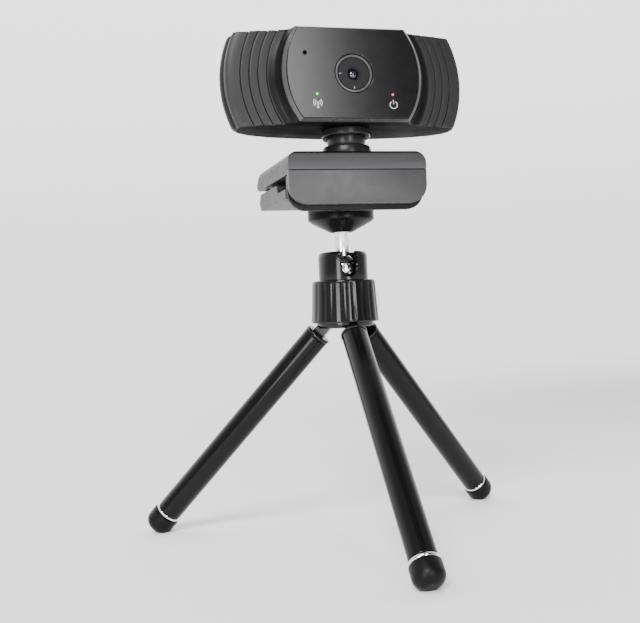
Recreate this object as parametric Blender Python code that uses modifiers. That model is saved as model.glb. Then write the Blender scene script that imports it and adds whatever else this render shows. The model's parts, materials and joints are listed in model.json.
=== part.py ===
"""Webcam on a mini tripod, folded monitor clip, legs splayed.

Units: metres in Blender; the dimensions below are in millimetres. Front faces -Y, up is +Z.
All positions are given in the assembly frame, whose Z axis is the tripod's stud and whose
floor is z = 0. The assembly empty then shifts everything so that the origin is the middle of
the footprint of the whole object.
"""
import math

import bmesh
import bpy
from mathutils import Vector

MM = 0.001
GAP = 0.3                      # clearance between neighbouring pieces
WALL = 2.0                     # moulded plastic wall

# Tripod
LEG_SPLAY = math.radians(43.5)
LEG_AZIMUTHS = [math.radians(a) for a in (-90.0, 30.0, 150.0)]
LEG_PIN_R = 7.3                # distance of a leg's pivot from the stud axis
LEG_PIN_Z = 90.7
LEG_TUBE_R = 5.4
LEG_TAB_THICKNESS = 3.0
FOOT_R = 6.1
FOOT_FILLET = 4.4
FOOT_SINK = 0.7                # the rubber foot is worn flat by this much where it stands
CROWN_R = 12.0
RING_BOTTOM_Z = 90.3
RING_TOP_Z = 108.0
RING_BOTTOM_R = 14.3
RING_TOP_R = 13.25
BALL_R = 6.3
BALL_Z = 112.7
CUP_R = 10.4
CUP_TOP_Z = 120.0
CUP_BORE_R = 6.7
CUP_LIP_R = 5.95
SHAFT_R = 3.0
CUP_SLOT_HALF = 3.6
DISC_R = 14.0
DISC_CONE_Z = 128.2
DISC_BOTTOM_Z = 132.0
DISC_TOP_Z = 138.0
SCREW_THREAD_R = 3.175         # 1/4 inch camera thread

# Monitor clip
CLIP_WIDTH = 57.0
CLIP_FRONT_Y = -29.0
CLIP_REAR_Y = 35.0
LOWER_BOTTOM_Z = 140.5
LOWER_TOP_Z = 147.7
UPPER_BOTTOM_Z = 149.6
UPPER_TOP_Z = 158.5
HINGE_Y = 28.0
HINGE_Z = 148.6
HINGE_R = 2.2
HINGE_PIN_R = 1.1
FASCIA_BACK_Y = -25.4
FASCIA_BOTTOM_Z = 137.5
FASCIA_SEAM_Z = 151.2
LIP_FRONT_Y = -24.8
LIP_BACK_Y = -21.8

# Neck and head
NECK_Y = -13.0
NECK_BALL_Z = 165.0
NECK_BALL_R = 8.0
HEAD_REST_TILT = math.radians(4.0)   # the head looks up a little
HEAD_Z = 188.0                 # middle height of the head
HEAD_HALF_HEIGHT = 19.0
HEAD_SPLIT_Y = -15.5
FACE_Y = -30.0
FACE_HALF_WIDTH = 27.2
FACE_HALF_HEIGHT = 18.0
FACE_ARC_R = 32.0              # radius of the arcs that end the face plate left and right
TIP_ARC_R = 45.0               # radius of the arcs at the wing tips
WING_HALF_WIDTH = 51.0
LIGHT_X = 15.6
LIGHT_Z = HEAD_Z - 8.4
MIC_X = -19.6
MIC_Z = HEAD_Z + 7.8


def foot_axis_length():
    """Distance along a leg from its pivot to the middle of the foot's fillet."""
    centre_z = FOOT_FILLET + (FOOT_R - FOOT_FILLET) * math.sin(LEG_SPLAY) - FOOT_SINK
    return (LEG_PIN_Z - centre_z) / math.cos(LEG_SPLAY)


def foot_reach(azimuth, towards):
    """How far a foot reaches along a horizontal direction, given as an azimuth."""
    radius = LEG_PIN_R + foot_axis_length() * math.sin(LEG_SPLAY)
    along = math.cos(azimuth - towards)
    square_to_leg = math.sqrt(1.0 - (math.sin(LEG_SPLAY) * along) ** 2)
    return radius * along + (FOOT_R - FOOT_FILLET) * square_to_leg + FOOT_FILLET


FRONT_REACH = foot_reach(LEG_AZIMUTHS[0], math.radians(-90.0))
BACK_REACH = foot_reach(LEG_AZIMUTHS[1], math.radians(90.0))
STUD_Y = (FRONT_REACH - BACK_REACH) / 2.0

for old in list(bpy.data.objects):
    bpy.data.objects.remove(old, do_unlink=True)

parts = bpy.data.collections.new("webcam_on_tripod")
cutters = bpy.data.collections.new("cutters")
bpy.context.scene.collection.children.link(parts)
bpy.context.scene.collection.children.link(cutters)

FRAMES = {}


def make_frame(name, joint=(0.0, 0.0, 0.0), rotation=(0.0, 0.0, 0.0), parent=None):
    """An empty on a joint's axis, given by its place in the assembly frame."""
    empty = bpy.data.objects.new(name, None)
    empty.empty_display_size = 5.0 * MM
    parts.objects.link(empty)
    empty.rotation_euler = rotation
    origin = Vector(joint)
    if parent:
        empty.parent = FRAMES[parent][0]
        empty.location = (origin - FRAMES[parent][1]) * MM
    else:
        empty.location = (0.0, STUD_Y * MM, 0.0)
    FRAMES[name] = (empty, origin)


make_frame("assembly")
make_frame("lock_ring_axis", parent="assembly")
for index, azimuth in enumerate(LEG_AZIMUTHS, start=1):
    pin_place = (LEG_PIN_R * math.cos(azimuth), LEG_PIN_R * math.sin(azimuth), LEG_PIN_Z)
    make_frame(f"leg_axis_{index}", pin_place, (0.0, -LEG_SPLAY, azimuth), "assembly")
    make_frame(f"spoke_{index}", rotation=(0.0, 0.0, azimuth), parent="assembly")
make_frame("ball_axis", (0.0, 0.0, BALL_Z), parent="assembly")
make_frame("clip_axis", (0.0, 0.0, BALL_Z), parent="ball_axis")
make_frame("hinge_axis", (0.0, HINGE_Y, HINGE_Z), parent="clip_axis")
make_frame("neck_axis", (0.0, NECK_Y, NECK_BALL_Z), parent="hinge_axis")
make_frame("head_axis", (0.0, NECK_Y, NECK_BALL_Z), (-HEAD_REST_TILT, 0.0, 0.0), "neck_axis")


def make_material(name, colour, roughness, metallic=0.0):
    material = bpy.data.materials.new(name)
    material.use_nodes = True
    shader = material.node_tree.nodes["Principled BSDF"]
    shader.inputs["Base Color"].default_value = (*colour, 1.0)
    shader.inputs["Roughness"].default_value = roughness
    shader.inputs["Metallic"].default_value = metallic
    return material


SATIN_BLACK = make_material("satin_black_plastic", (0.03, 0.03, 0.032), 0.45)
GLOSS_BLACK = make_material("gloss_black_plastic", (0.012, 0.012, 0.013), 0.12)
FACE_BLACK = make_material("face_gloss", (0.008, 0.008, 0.009), 0.06)
RUBBER = make_material("rubber", (0.015, 0.015, 0.015), 0.7)
CHROME = make_material("chrome", (0.8, 0.8, 0.81), 0.08, 1.0)
STEEL = make_material("screw_steel", (0.6, 0.6, 0.61), 0.3, 1.0)
BRASS = make_material("brass", (0.7, 0.5, 0.2), 0.3, 1.0)
GLASS = make_material("lens_glass", (0.02, 0.02, 0.03), 0.02)
BOARD = make_material("board_green", (0.02, 0.12, 0.05), 0.5)
LIGHT_GREEN = make_material("light_green", (0.1, 0.8, 0.1), 0.3)
LIGHT_RED = make_material("light_red", (0.8, 0.05, 0.03), 0.3)


def add_object(name, mesh, frame, at=(0.0, 0.0, 0.0), material=None, rotation=(0.0, 0.0, 0.0)):
    """Link a mesh, place it in the assembly frame and parent it; no material means a cutter."""
    obj = bpy.data.objects.new(name, mesh)
    empty, origin = FRAMES[frame]
    obj.parent = empty
    obj.location = (Vector(at) - origin) * MM
    obj.rotation_euler = rotation
    if material:
        obj.data.materials.append(material)
        parts.objects.link(obj)
    else:
        cutters.objects.link(obj)
        obj.display_type = 'WIRE'
        obj.hide_render = True
    return obj


def box(name, low, high, frame, material=None, bevel=0.0, segments=2):
    """An upright block between two corners, its edges rounded by bevel."""
    size = [h - l for l, h in zip(low, high)]
    middle = [(h + l) / 2.0 for l, h in zip(low, high)]
    mesh = bpy.data.meshes.new(name)
    work = bmesh.new()
    bmesh.ops.create_cube(work, size=1.0)
    bmesh.ops.scale(work, vec=[s * MM for s in size], verts=work.verts)
    work.to_mesh(mesh)
    work.free()
    obj = add_object(name, mesh, frame, middle, material)
    if bevel:
        add_bevel(obj, bevel, segments)
    return obj


def add_bevel(obj, width, segments=2, angle=30.0):
    bevel = obj.modifiers.new("round_edges", 'BEVEL')
    bevel.width = width * MM
    bevel.segments = segments
    bevel.limit_method = 'ANGLE'
    bevel.angle_limit = math.radians(angle)
    return bevel


AXIS_TURN = {
    "Z": (0.0, 0.0, 0.0),
    "-Y": (math.radians(90.0), 0.0, 0.0),
    "X": (0.0, math.radians(90.0), 0.0),
}


def turned(name, profile, frame, at, material=None, steps=24, axis="Z", rotation=None):
    """A turned solid: (radius, height) points from the top of the outer side downwards.

    A profile that does not start and end on the axis is closed into a ring.
    """
    points = list(profile)
    ring = points[0][0] > 0.0
    mesh = bpy.data.meshes.new(name)
    edges = [(i, i + 1) for i in range(len(points) - 1)]
    if ring:
        edges.append((len(points) - 1, 0))
    mesh.from_pydata([(r * MM, 0.0, h * MM) for r, h in points], edges, [])
    obj = add_object(name, mesh, frame, at, material, rotation or AXIS_TURN[axis])
    screw = obj.modifiers.new("turn", 'SCREW')
    screw.steps = steps
    screw.render_steps = steps
    screw.use_merge_vertices = True
    screw.merge_threshold = 0.00001
    screw.use_smooth_shade = True
    return obj


def rod(name, radius, low, high, frame, at, material=None, steps=16, axis="Z", rotation=None):
    """A plain round bar from low to high along its own axis."""
    profile = [(0.0, high), (radius, high), (radius, low), (0.0, low)]
    return turned(name, profile, frame, at, material, steps, axis, rotation)


def sleeve(name, outer, inner, low, high, frame, at, material=None, steps=20, axis="Z"):
    """A plain tube, open at both ends."""
    profile = [(outer, high), (outer, low), (inner, low), (inner, high)]
    return turned(name, profile, frame, at, material, steps, axis)


def arc(centre, radius, start, end, count):
    """Points along an arc; angles in degrees, both ends included."""
    angles = [math.radians(start + (end - start) * i / count) for i in range(count + 1)]
    return [(centre[0] + radius * math.cos(a), centre[1] + radius * math.sin(a)) for a in angles]


def plate(name, outlines, thickness, frame, at, material=None, rotation=(0.0, 0.0, 0.0)):
    """A flat piece from closed outlines, the first the rim and the others its holes."""
    curve = bpy.data.curves.new(name, 'CURVE')
    curve.dimensions = '2D'
    curve.fill_mode = 'BOTH'
    curve.extrude = thickness / 2.0 * MM
    for outline in outlines:
        spline = curve.splines.new('POLY')
        spline.points.add(len(outline) - 1)
        spline.use_cyclic_u = True
        for point, (u, v) in zip(spline.points, outline):
            point.co = (u * MM, v * MM, 0.0, 1.0)
    guide = bpy.data.objects.new(name + "_outline", curve)
    parts.objects.link(guide)
    depsgraph = bpy.context.evaluated_depsgraph_get()
    mesh = bpy.data.meshes.new_from_object(guide.evaluated_get(depsgraph))
    bpy.data.objects.remove(guide, do_unlink=True)
    work = bmesh.new()
    work.from_mesh(mesh)
    bmesh.ops.remove_doubles(work, verts=work.verts, dist=0.00001)
    bmesh.ops.dissolve_limit(work, angle_limit=0.01, verts=work.verts, edges=work.edges)
    bmesh.ops.recalc_face_normals(work, faces=work.faces)
    work.to_mesh(mesh)
    work.free()
    return add_object(name, mesh, frame, at, material, rotation)


STANDING = (math.radians(90.0), 0.0, 0.0)                     # outline (x, z), thickness along Y
SIDEWAYS = (math.radians(90.0), 0.0, math.radians(90.0))      # outline (y, z), thickness along X


def combine(obj, other, operation='DIFFERENCE'):
    """Cut or join a guide solid into a piece."""
    boolean = obj.modifiers.new(operation.lower(), 'BOOLEAN')
    boolean.operation = operation
    boolean.object = other


def cut_round(obj, name, radius, low, high, frame, at, axis="Z", steps=16):
    combine(obj, rod(name, radius, low, high, frame, at, None, steps, axis))


def cut_box(obj, name, low, high, frame, bevel=0.0):
    combine(obj, box(name, low, high, frame, None, bevel))


# ---------------------------------------------------------------- tripod

LEG_NUMBERS = range(1, len(LEG_AZIMUTHS) + 1)
CROWN_BOTTOM_Z = 88.0
CROWN_TOP_Z = 97.0
POST_R = 9.0
POST_TOP_Z = BALL_Z - BALL_R - GAP
PIN_R = 1.0


def build_hub():
    """The core: a post under the ball, and a crown with a slot for each leg."""
    profile = [(0.0, POST_TOP_Z), (POST_R, POST_TOP_Z), (POST_R, CROWN_TOP_Z), (CROWN_R, CROWN_TOP_Z),
               (CROWN_R, CROWN_BOTTOM_Z + 1.0), (CROWN_R - 1.0, CROWN_BOTTOM_Z), (0.0, CROWN_BOTTOM_Z)]
    hub = turned("hub", profile, "assembly", (0.0, 0.0, 0.0), SATIN_BLACK)
    half = LEG_TAB_THICKNESS / 2.0 + GAP
    for number in LEG_NUMBERS:
        spoke = f"spoke_{number}"
        cut_box(hub, f"leg_slot_{number}", (3.9, -half, 80.0), (20.0, half, 94.4), spoke)
        pin_middle = (LEG_PIN_R, 0.0, LEG_PIN_Z)
        cut_round(hub, f"pin_hole_{number}", PIN_R + GAP, -5.4, 5.4, spoke, pin_middle, "-Y", 12)
        rod(f"leg_pin_{number}", PIN_R, -5.0, 5.0, spoke, pin_middle, STEEL, 12, "-Y")


def build_leg(number):
    """A leg along its own axis, from the pivot down: lengths are negative heights."""
    frame = f"leg_axis_{number}"
    origin = FRAMES[frame][1]
    flange_top = -6.5
    flange_bottom = -8.0
    foot_middle = -foot_axis_length()
    foot_top = foot_middle + 4.5
    tab_half = LEG_TAB_THICKNESS / 2.0

    plug = [(0.0, flange_top), (LEG_TUBE_R + 0.2, flange_top), (LEG_TUBE_R + 0.2, flange_bottom),
            (4.3, flange_bottom), (4.3, -17.0), (0.0, -17.0)]
    knuckle = turned(f"leg_knuckle_{number}", plug, frame, origin, SATIN_BLACK, 20)
    tab = box(f"knuckle_tab_{number}", (-2.6, -tab_half, -7.2), (2.6, tab_half, 0.0), frame)
    tab.location = (0.0, 0.0, -3.6 * MM)
    eye = rod(f"knuckle_eye_{number}", 3.0, -tab_half, tab_half, frame, origin, None, 16, "-Y")
    combine(knuckle, tab, 'UNION')
    combine(knuckle, eye, 'UNION')
    cut_round(knuckle, f"eye_hole_{number}", PIN_R + GAP, -3.0, 3.0, frame, origin, "-Y", 12)

    tube = [(LEG_TUBE_R, flange_bottom - GAP), (LEG_TUBE_R, foot_top + 2.6),
            (4.6, foot_top + 2.6), (4.6, flange_bottom - GAP)]
    turned(f"leg_tube_{number}", tube, frame, origin, GLOSS_BLACK)
    ring = [(LEG_TUBE_R + 0.3, foot_top + 2.3), (LEG_TUBE_R + 0.3, foot_top + GAP),
            (4.6, foot_top + GAP), (4.6, foot_top + 2.3)]
    turned(f"foot_ring_{number}", ring, frame, origin, CHROME)

    fillet = arc((FOOT_R - FOOT_FILLET, foot_middle), FOOT_FILLET, 0.0, -90.0, 6)
    cap = [(0.0, foot_top + 9.0), (4.3, foot_top + 9.0), (4.3, foot_top), (FOOT_R - 0.5, foot_top),
           (FOOT_R, foot_top - 0.5)] + fillet + [(0.0, foot_middle - FOOT_FILLET)]
    foot = turned(f"foot_cap_{number}", cap, frame, origin, RUBBER)
    cut_box(foot, f"foot_flat_{number}", (70.0, -20.0, -20.0), (110.0, 20.0, 0.0), f"spoke_{number}")


def build_ball_head():
    """Cup with its slot towards the front, the lock ring, and the ball stud with its disc."""
    cup_bottom = POST_TOP_Z + GAP
    cup_profile = [(CUP_LIP_R, CUP_TOP_Z), (CUP_R - 1.0, CUP_TOP_Z), (CUP_R, CUP_TOP_Z - 1.0),
                   (CUP_R, cup_bottom), (CUP_BORE_R, cup_bottom), (CUP_BORE_R, BALL_Z + 3.8),
                   (CUP_LIP_R, BALL_Z + 5.4)]
    cup = turned("ball_cup", cup_profile, "assembly", (0.0, 0.0, 0.0), GLOSS_BLACK, 32)
    cut_box(cup, "cup_slot", (-CUP_SLOT_HALF, -20.0, BALL_Z), (CUP_SLOT_HALF, 0.0, 125.0), "assembly")
    cut_round(cup, "cup_slot_round", CUP_SLOT_HALF - 0.02, 0.0, 20.0, "assembly",
              (0.0, 0.0, BALL_Z), "-Y", 20)

    bore = CROWN_R + GAP
    neck = CUP_R + GAP
    ring_profile = [(neck, RING_TOP_Z), (RING_TOP_R - 0.6, RING_TOP_Z), (RING_TOP_R, RING_TOP_Z - 0.6),
                    (RING_BOTTOM_R, RING_BOTTOM_Z + 0.5), (RING_BOTTOM_R - 0.5, RING_BOTTOM_Z),
                    (bore, RING_BOTTOM_Z), (bore, RING_TOP_Z - 2.0), (neck, RING_TOP_Z - 1.2)]
    turned("lock_ring", ring_profile, "lock_ring_axis", (0.0, 0.0, 0.0), GLOSS_BLACK, 32)

    neck_angle = math.degrees(math.acos(SHAFT_R / BALL_R))
    thread_top = 146.0
    sphere = arc((0.0, BALL_Z), BALL_R, neck_angle, -90.0, 12)[:-1]
    stud = [(0.0, thread_top), (SCREW_THREAD_R - 0.6, thread_top), (SCREW_THREAD_R, thread_top - 0.6),
            (SCREW_THREAD_R, DISC_BOTTOM_Z), (SHAFT_R, DISC_BOTTOM_Z)]
    stud += sphere + [(0.0, BALL_Z - BALL_R)]
    turned("ball_stud", stud, "ball_axis", (0.0, 0.0, 0.0), CHROME)

    hole = SCREW_THREAD_R + GAP
    disc = [(hole, DISC_TOP_Z), (DISC_R - 0.6, DISC_TOP_Z), (DISC_R, DISC_TOP_Z - 0.6),
            (DISC_R, DISC_BOTTOM_Z + 1.4), (DISC_R - 2.0, DISC_BOTTOM_Z), (5.0, DISC_CONE_Z),
            (hole, DISC_CONE_Z)]
    turned("mount_disc", disc, "ball_axis", (0.0, 0.0, 0.0), SATIN_BLACK, 32)
    sleeve("mount_pad", DISC_R - 1.0, hole, DISC_TOP_Z + GAP, LOWER_BOTTOM_Z - GAP,
           "ball_axis", (0.0, 0.0, 0.0), RUBBER, 32)


# ---------------------------------------------------------------- monitor clip

HALF_CLIP = CLIP_WIDTH / 2.0
THIN_TOP_Z = 144.3
STEP_FRONT_Y = -9.0
NUT_R = 5.0
PAD_FRONT_Y = -3.0
PAD_BACK_Y = 21.0
PAD_HALF = 24.5
PAD_BED_Z = LOWER_TOP_Z - 1.0
SLOT_HALF = 9.5
SLOT_FRONT_Y = -18.5
SLOT_BACK_Y = -12.5
LIP_SCREW_X = 21.5
LIP_SCREW_Y = -17.0
LUG_INNER_X = 17.9
LUG_OUTER_X = 22.0
KNUCKLE_INNER_X = 11.0
KNUCKLE_OUTER_X = 16.6


def build_lower_arm():
    """Side outline (y, z): thin at the front, a cove up to the full thickness, a pointed rear."""
    cove = arc((STEP_FRONT_Y, LOWER_TOP_Z - GAP), LOWER_TOP_Z - THIN_TOP_Z - GAP, -90.0, 0.0, 5)
    outline = [(LIP_BACK_Y + GAP, LOWER_BOTTOM_Z), (27.6, LOWER_BOTTOM_Z), (31.0, 143.9),
               (27.2, LOWER_TOP_Z)] + [(y, z) for y, z in reversed(cove)]
    outline += [(LIP_BACK_Y + GAP, THIN_TOP_Z)]
    arm = plate("lower_arm", [outline], CLIP_WIDTH, "clip_axis", (0.0, 0.0, 0.0), SATIN_BLACK, SIDEWAYS)
    for side in (-1, 1):
        name = "left" if side < 0 else "right"
        inner, outer = sorted((side * KNUCKLE_INNER_X, side * KNUCKLE_OUTER_X))
        combine(arm, rod(f"arm_knuckle_{name}", HINGE_R, inner, outer, "clip_axis",
                         (0.0, HINGE_Y, HINGE_Z), None, 16, "X"), 'UNION')
        combine(arm, box(f"arm_knuckle_root_{name}", (inner, HINGE_Y - HINGE_R, 145.0),
                         (outer, HINGE_Y + HINGE_R, HINGE_Z), "clip_axis"), 'UNION')
        inner, outer = sorted((side * (LUG_INNER_X - 0.7 - GAP), side * (LUG_OUTER_X + 2.0)))
        cut_box(arm, f"lug_room_{name}", (inner, HINGE_Y - HINGE_R - 0.5, 145.8),
                (outer, 40.0, 155.0), "clip_axis")
        screw_place = (side * LIP_SCREW_X, LIP_SCREW_Y, 0.0)
        cut_round(arm, f"lip_screw_hole_{name}", 1.3, 138.0, 150.0, "clip_axis", screw_place, "Z", 12)
        cut_round(arm, f"lip_screw_sink_{name}", 2.8, 142.9, 150.0, "clip_axis", screw_place)
        cut_box(arm, f"lip_tab_room_{name}", (side * LIP_SCREW_X - 4.3, -25.0, 139.0),
                (side * LIP_SCREW_X + 4.3, -12.7, 142.0 + GAP), "clip_axis")
    cut_round(arm, "hinge_pin_hole", HINGE_PIN_R + GAP, -26.0, 26.0, "clip_axis",
              (0.0, HINGE_Y, HINGE_Z), "X", 12)
    cut_round(arm, "nut_hole", NUT_R + GAP, 139.0, LOWER_TOP_Z - 1.5, "clip_axis", (0.0, 0.0, 0.0))
    cut_box(arm, "pad_bed", (-PAD_HALF - GAP, PAD_FRONT_Y - GAP, PAD_BED_Z),
            (PAD_HALF + GAP, PAD_BACK_Y + GAP, 150.0), "clip_axis")
    cut_box(arm, "front_slot", (-SLOT_HALF, SLOT_FRONT_Y, 139.0), (SLOT_HALF, SLOT_BACK_Y, 146.0),
            "clip_axis")
    return arm


def build_lower_fittings():
    sleeve("tripod_nut", NUT_R, SCREW_THREAD_R + GAP, LOWER_BOTTOM_Z + GAP, LOWER_TOP_Z - 1.5 - GAP,
           "clip_axis", (0.0, 0.0, 0.0), BRASS)
    box("clamp_pad", (-PAD_HALF, PAD_FRONT_Y, PAD_BED_Z + GAP), (PAD_HALF, PAD_BACK_Y, LOWER_TOP_Z + 0.6),
        "clip_axis", RUBBER, 0.4, 1)
    box("slot_bracket", (-SLOT_HALF + GAP, SLOT_FRONT_Y + GAP, 141.0),
        (SLOT_HALF - GAP, SLOT_BACK_Y - GAP, 142.2), "clip_axis", STEEL)
    half = HALF_CLIP - GAP
    top_half = 25.0               # the top stands between the side walls of the upper arm
    shoulder = UPPER_BOTTOM_Z - GAP
    radius = 7.0
    bottom = 135.4
    top = 153.0
    outline = [(top_half, top), (top_half, shoulder), (half, shoulder)]
    outline += arc((half - radius, bottom + radius), radius, 0.0, -90.0, 5)
    outline += arc((-half + radius, bottom + radius), radius, -90.0, -180.0, 5)
    outline += [(-half, shoulder), (-top_half, shoulder), (-top_half, top)]
    lip = plate("foot_lip", [outline], LIP_BACK_Y - LIP_FRONT_Y, "clip_axis",
                (0.0, (LIP_FRONT_Y + LIP_BACK_Y) / 2.0, 0.0), SATIN_BLACK, STANDING)
    for side, name in ((-1, "left"), (1, "right")):
        place = (side * LIP_SCREW_X, LIP_SCREW_Y, 0.0)
        low, high = sorted((side * (LIP_SCREW_X - 4.0), side * top_half))
        tab = box(f"lip_tab_{name}", (low, LIP_BACK_Y - 1.0, LOWER_BOTTOM_Z + GAP),
                  (high, -13.0, 142.0), "clip_axis")
        combine(lip, tab, 'UNION')
        cut_round(lip, f"lip_tab_hole_{name}", 1.3, 138.0, 150.0, "clip_axis", place, "Z", 12)
        screw = [(0.0, THIN_TOP_Z), (1.6, THIN_TOP_Z), (2.4, THIN_TOP_Z - 0.5), (2.4, 143.2),
                 (1.0, 143.2), (1.0, LOWER_BOTTOM_Z + 0.5), (0.0, LOWER_BOTTOM_Z + 0.5)]
        turned(f"lip_screw_{name}", screw, "clip_axis", place, STEEL, 16)
        low, high = sorted((side * (KNUCKLE_OUTER_X + 0.3), side * (LUG_INNER_X - 0.3)))
        sleeve(f"hinge_washer_{name}", HINGE_R - 0.1, HINGE_PIN_R + GAP, low, high, "clip_axis",
               (0.0, HINGE_Y, HINGE_Z), STEEL, 16, "X")
    rod("hinge_pin", HINGE_PIN_R, -23.0, 23.0, "clip_axis", (0.0, HINGE_Y, HINGE_Z), STEEL, 12, "X")


def build_upper_arm():
    """Side outline (y, z) with the rounded rear and the scoop over the hinge, then hollowed."""
    rear_round = arc((CLIP_REAR_Y - 8.0, UPPER_TOP_Z - 8.0), 8.0, 90.0, 10.0, 5)
    scoop = [(33.2, 151.2), (32.0, 150.6), (31.4, UPPER_BOTTOM_Z)]
    outline = [(CLIP_FRONT_Y, UPPER_TOP_Z)] + rear_round + scoop
    outline += [(FASCIA_BACK_Y, UPPER_BOTTOM_Z), (FASCIA_BACK_Y, FASCIA_SEAM_Z),
                (CLIP_FRONT_Y, FASCIA_SEAM_Z)]
    arm = plate("upper_arm", [outline], CLIP_WIDTH, "hinge_axis", (0.0, 0.0, 0.0), SATIN_BLACK, SIDEWAYS)
    corner = arc((HALF_CLIP - 4.0, UPPER_TOP_Z - 4.0), 4.0, 0.0, 90.0, 4)
    keep = corner + [(-x, z) for x, z in reversed(corner)] + [(-HALF_CLIP, 140.0), (HALF_CLIP, 140.0)]
    frame_outline = [(40.0, 135.0), (40.0, 170.0), (-40.0, 170.0), (-40.0, 135.0)]
    trim = plate("edge_trim", [frame_outline, keep], 80.0, "hinge_axis", (0.0, 3.0, 0.0), None, STANDING)
    combine(arm, trim)
    ceiling = UPPER_TOP_Z - 2.2
    inner = HALF_CLIP - 2.2
    cut_box(arm, "arm_hollow", (-inner, FASCIA_BACK_Y, 140.0), (inner, 30.7, ceiling), "hinge_axis")
    for side, name in ((-1, "left"), (1, "right")):
        low, high = sorted((side * LUG_INNER_X, side * LUG_OUTER_X))
        combine(arm, box(f"hinge_lug_root_{name}", (low, HINGE_Y - HINGE_R, HINGE_Z),
                         (high, HINGE_Y + HINGE_R, ceiling + 1.0), "hinge_axis"), 'UNION')
        combine(arm, rod(f"hinge_lug_{name}", HINGE_R, low, high, "hinge_axis",
                         (0.0, HINGE_Y, HINGE_Z), None, 16, "X"), 'UNION')
    cut_round(arm, "lug_pin_hole", HINGE_PIN_R + GAP, -25.0, 25.0, "hinge_axis",
              (0.0, HINGE_Y, HINGE_Z), "X", 12)
    cut_round(arm, "neck_post_hole", 5.4, 150.0, 165.0, "hinge_axis", (0.0, NECK_Y, 0.0))


def build_upper_fittings():
    box("upper_arm_cover", (-HALF_CLIP + 2.5, -18.0, UPPER_BOTTOM_Z + GAP),
        (HALF_CLIP - 2.5, 24.0, UPPER_BOTTOM_Z + GAP + 1.2), "hinge_axis", SATIN_BLACK)
    radius = 7.5
    outline = [(HALF_CLIP, FASCIA_SEAM_Z - GAP)]
    outline += arc((HALF_CLIP - radius, FASCIA_BOTTOM_Z + radius), radius, 0.0, -90.0, 6)
    outline += arc((-HALF_CLIP + radius, FASCIA_BOTTOM_Z + radius), radius, -90.0, -180.0, 6)
    outline += [(-HALF_CLIP, FASCIA_SEAM_Z - GAP)]
    depth = FASCIA_BACK_Y - CLIP_FRONT_Y
    plate("fascia_panel", [outline], depth - GAP, "hinge_axis",
          (0.0, CLIP_FRONT_Y + (depth - GAP) / 2.0, 0.0), SATIN_BLACK, STANDING)


# ---------------------------------------------------------------- neck

def build_neck():
    place = (0.0, NECK_Y, 0.0)
    socket_r = NECK_BALL_R + GAP
    bell_bottom = UPPER_TOP_Z + GAP
    bell_top = 162.4
    low_angle = math.degrees(math.asin((bell_bottom - NECK_BALL_Z) / socket_r))
    high_angle = math.degrees(math.asin((bell_top - NECK_BALL_Z) / socket_r))
    bell = [(9.3, bell_top - 0.1), (9.6, bell_top - 0.4), (10.25, 159.4), (10.25, bell_bottom)]
    bell += arc((0.0, NECK_BALL_Z), socket_r, low_angle, high_angle, 4)
    turned("turntable", bell, "neck_axis", place, SATIN_BLACK, 24)
    post_r = 5.0
    post_bottom = 154.0
    bore_r = 1.7
    start = math.degrees(math.asin(-math.sqrt(1.0 - (post_r / NECK_BALL_R) ** 2)))
    ball = arc((0.0, NECK_BALL_Z), NECK_BALL_R, 90.0, start, 10)[1:]
    stem = [(0.0, NECK_BALL_Z + NECK_BALL_R)] + ball
    stem += [(post_r, post_bottom), (bore_r, post_bottom), (bore_r, 159.5), (0.0, 159.5)]
    turned("neck_ball", stem, "neck_axis", place, SATIN_BLACK, 24)
    sleeve("turntable_washer", 8.5, bore_r, 152.9, post_bottom - GAP, "neck_axis", place, STEEL, 20)
    screw = [(0.0, 158.8), (1.4, 158.8), (1.4, 152.6), (3.0, 152.6), (3.0, 151.7), (0.0, 151.7)]
    turned("turntable_screw", screw, "neck_axis", place, STEEL, 16)


# ---------------------------------------------------------------- head

def arc_sag(x, height):
    """How far a line of the head pulls in at a height above or below the middle."""
    share = max(0.0, min(1.0, (abs(x) - FACE_HALF_WIDTH) / (WING_HALF_WIDTH - FACE_HALF_WIDTH)))
    radius = FACE_ARC_R + (TIP_ARC_R - FACE_ARC_R) * share
    strength = min(1.0, abs(x) / FACE_HALF_WIDTH)
    return strength * (radius - math.sqrt(radius ** 2 - height ** 2))


def head_loft(name, half_outline, half_height, levels, material=None):
    """Stack one plan outline (x, y), pulled in along the arcs towards the top and bottom."""
    outline = half_outline + [(-x, y) for x, y in reversed(half_outline) if x > 0.0]
    mesh = bpy.data.meshes.new(name)
    work = bmesh.new()
    rows = []
    for level in range(levels + 1):
        height = half_height * (2.0 * level / levels - 1.0)
        row = []
        for x, y in outline:
            pulled = math.copysign(abs(x) - arc_sag(x, height), x)
            row.append(work.verts.new((pulled * MM, y * MM, height * MM)))
        rows.append(row)
    count = len(outline)
    for low, high in zip(rows, rows[1:]):
        for i in range(count):
            j = (i + 1) % count
            work.faces.new((low[i], low[j], high[j], high[i]))
    work.faces.new(list(reversed(rows[0])))
    work.faces.new(rows[-1])
    bmesh.ops.recalc_face_normals(work, faces=work.faces)
    work.to_mesh(mesh)
    work.free()
    return add_object(name, mesh, "head_axis", (0.0, 0.0, HEAD_Z), material)


POD_FRONT_Y = -27.3
RIB_LINES = [33.7, 37.1, 40.5, 43.9]
RIB_FIRST_Y = -23.0
RIB_SWEEP = 0.8                # each rib starts this much further back
BOSS_X = 30.5
NECK_HOLE_R = 8.7


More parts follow.
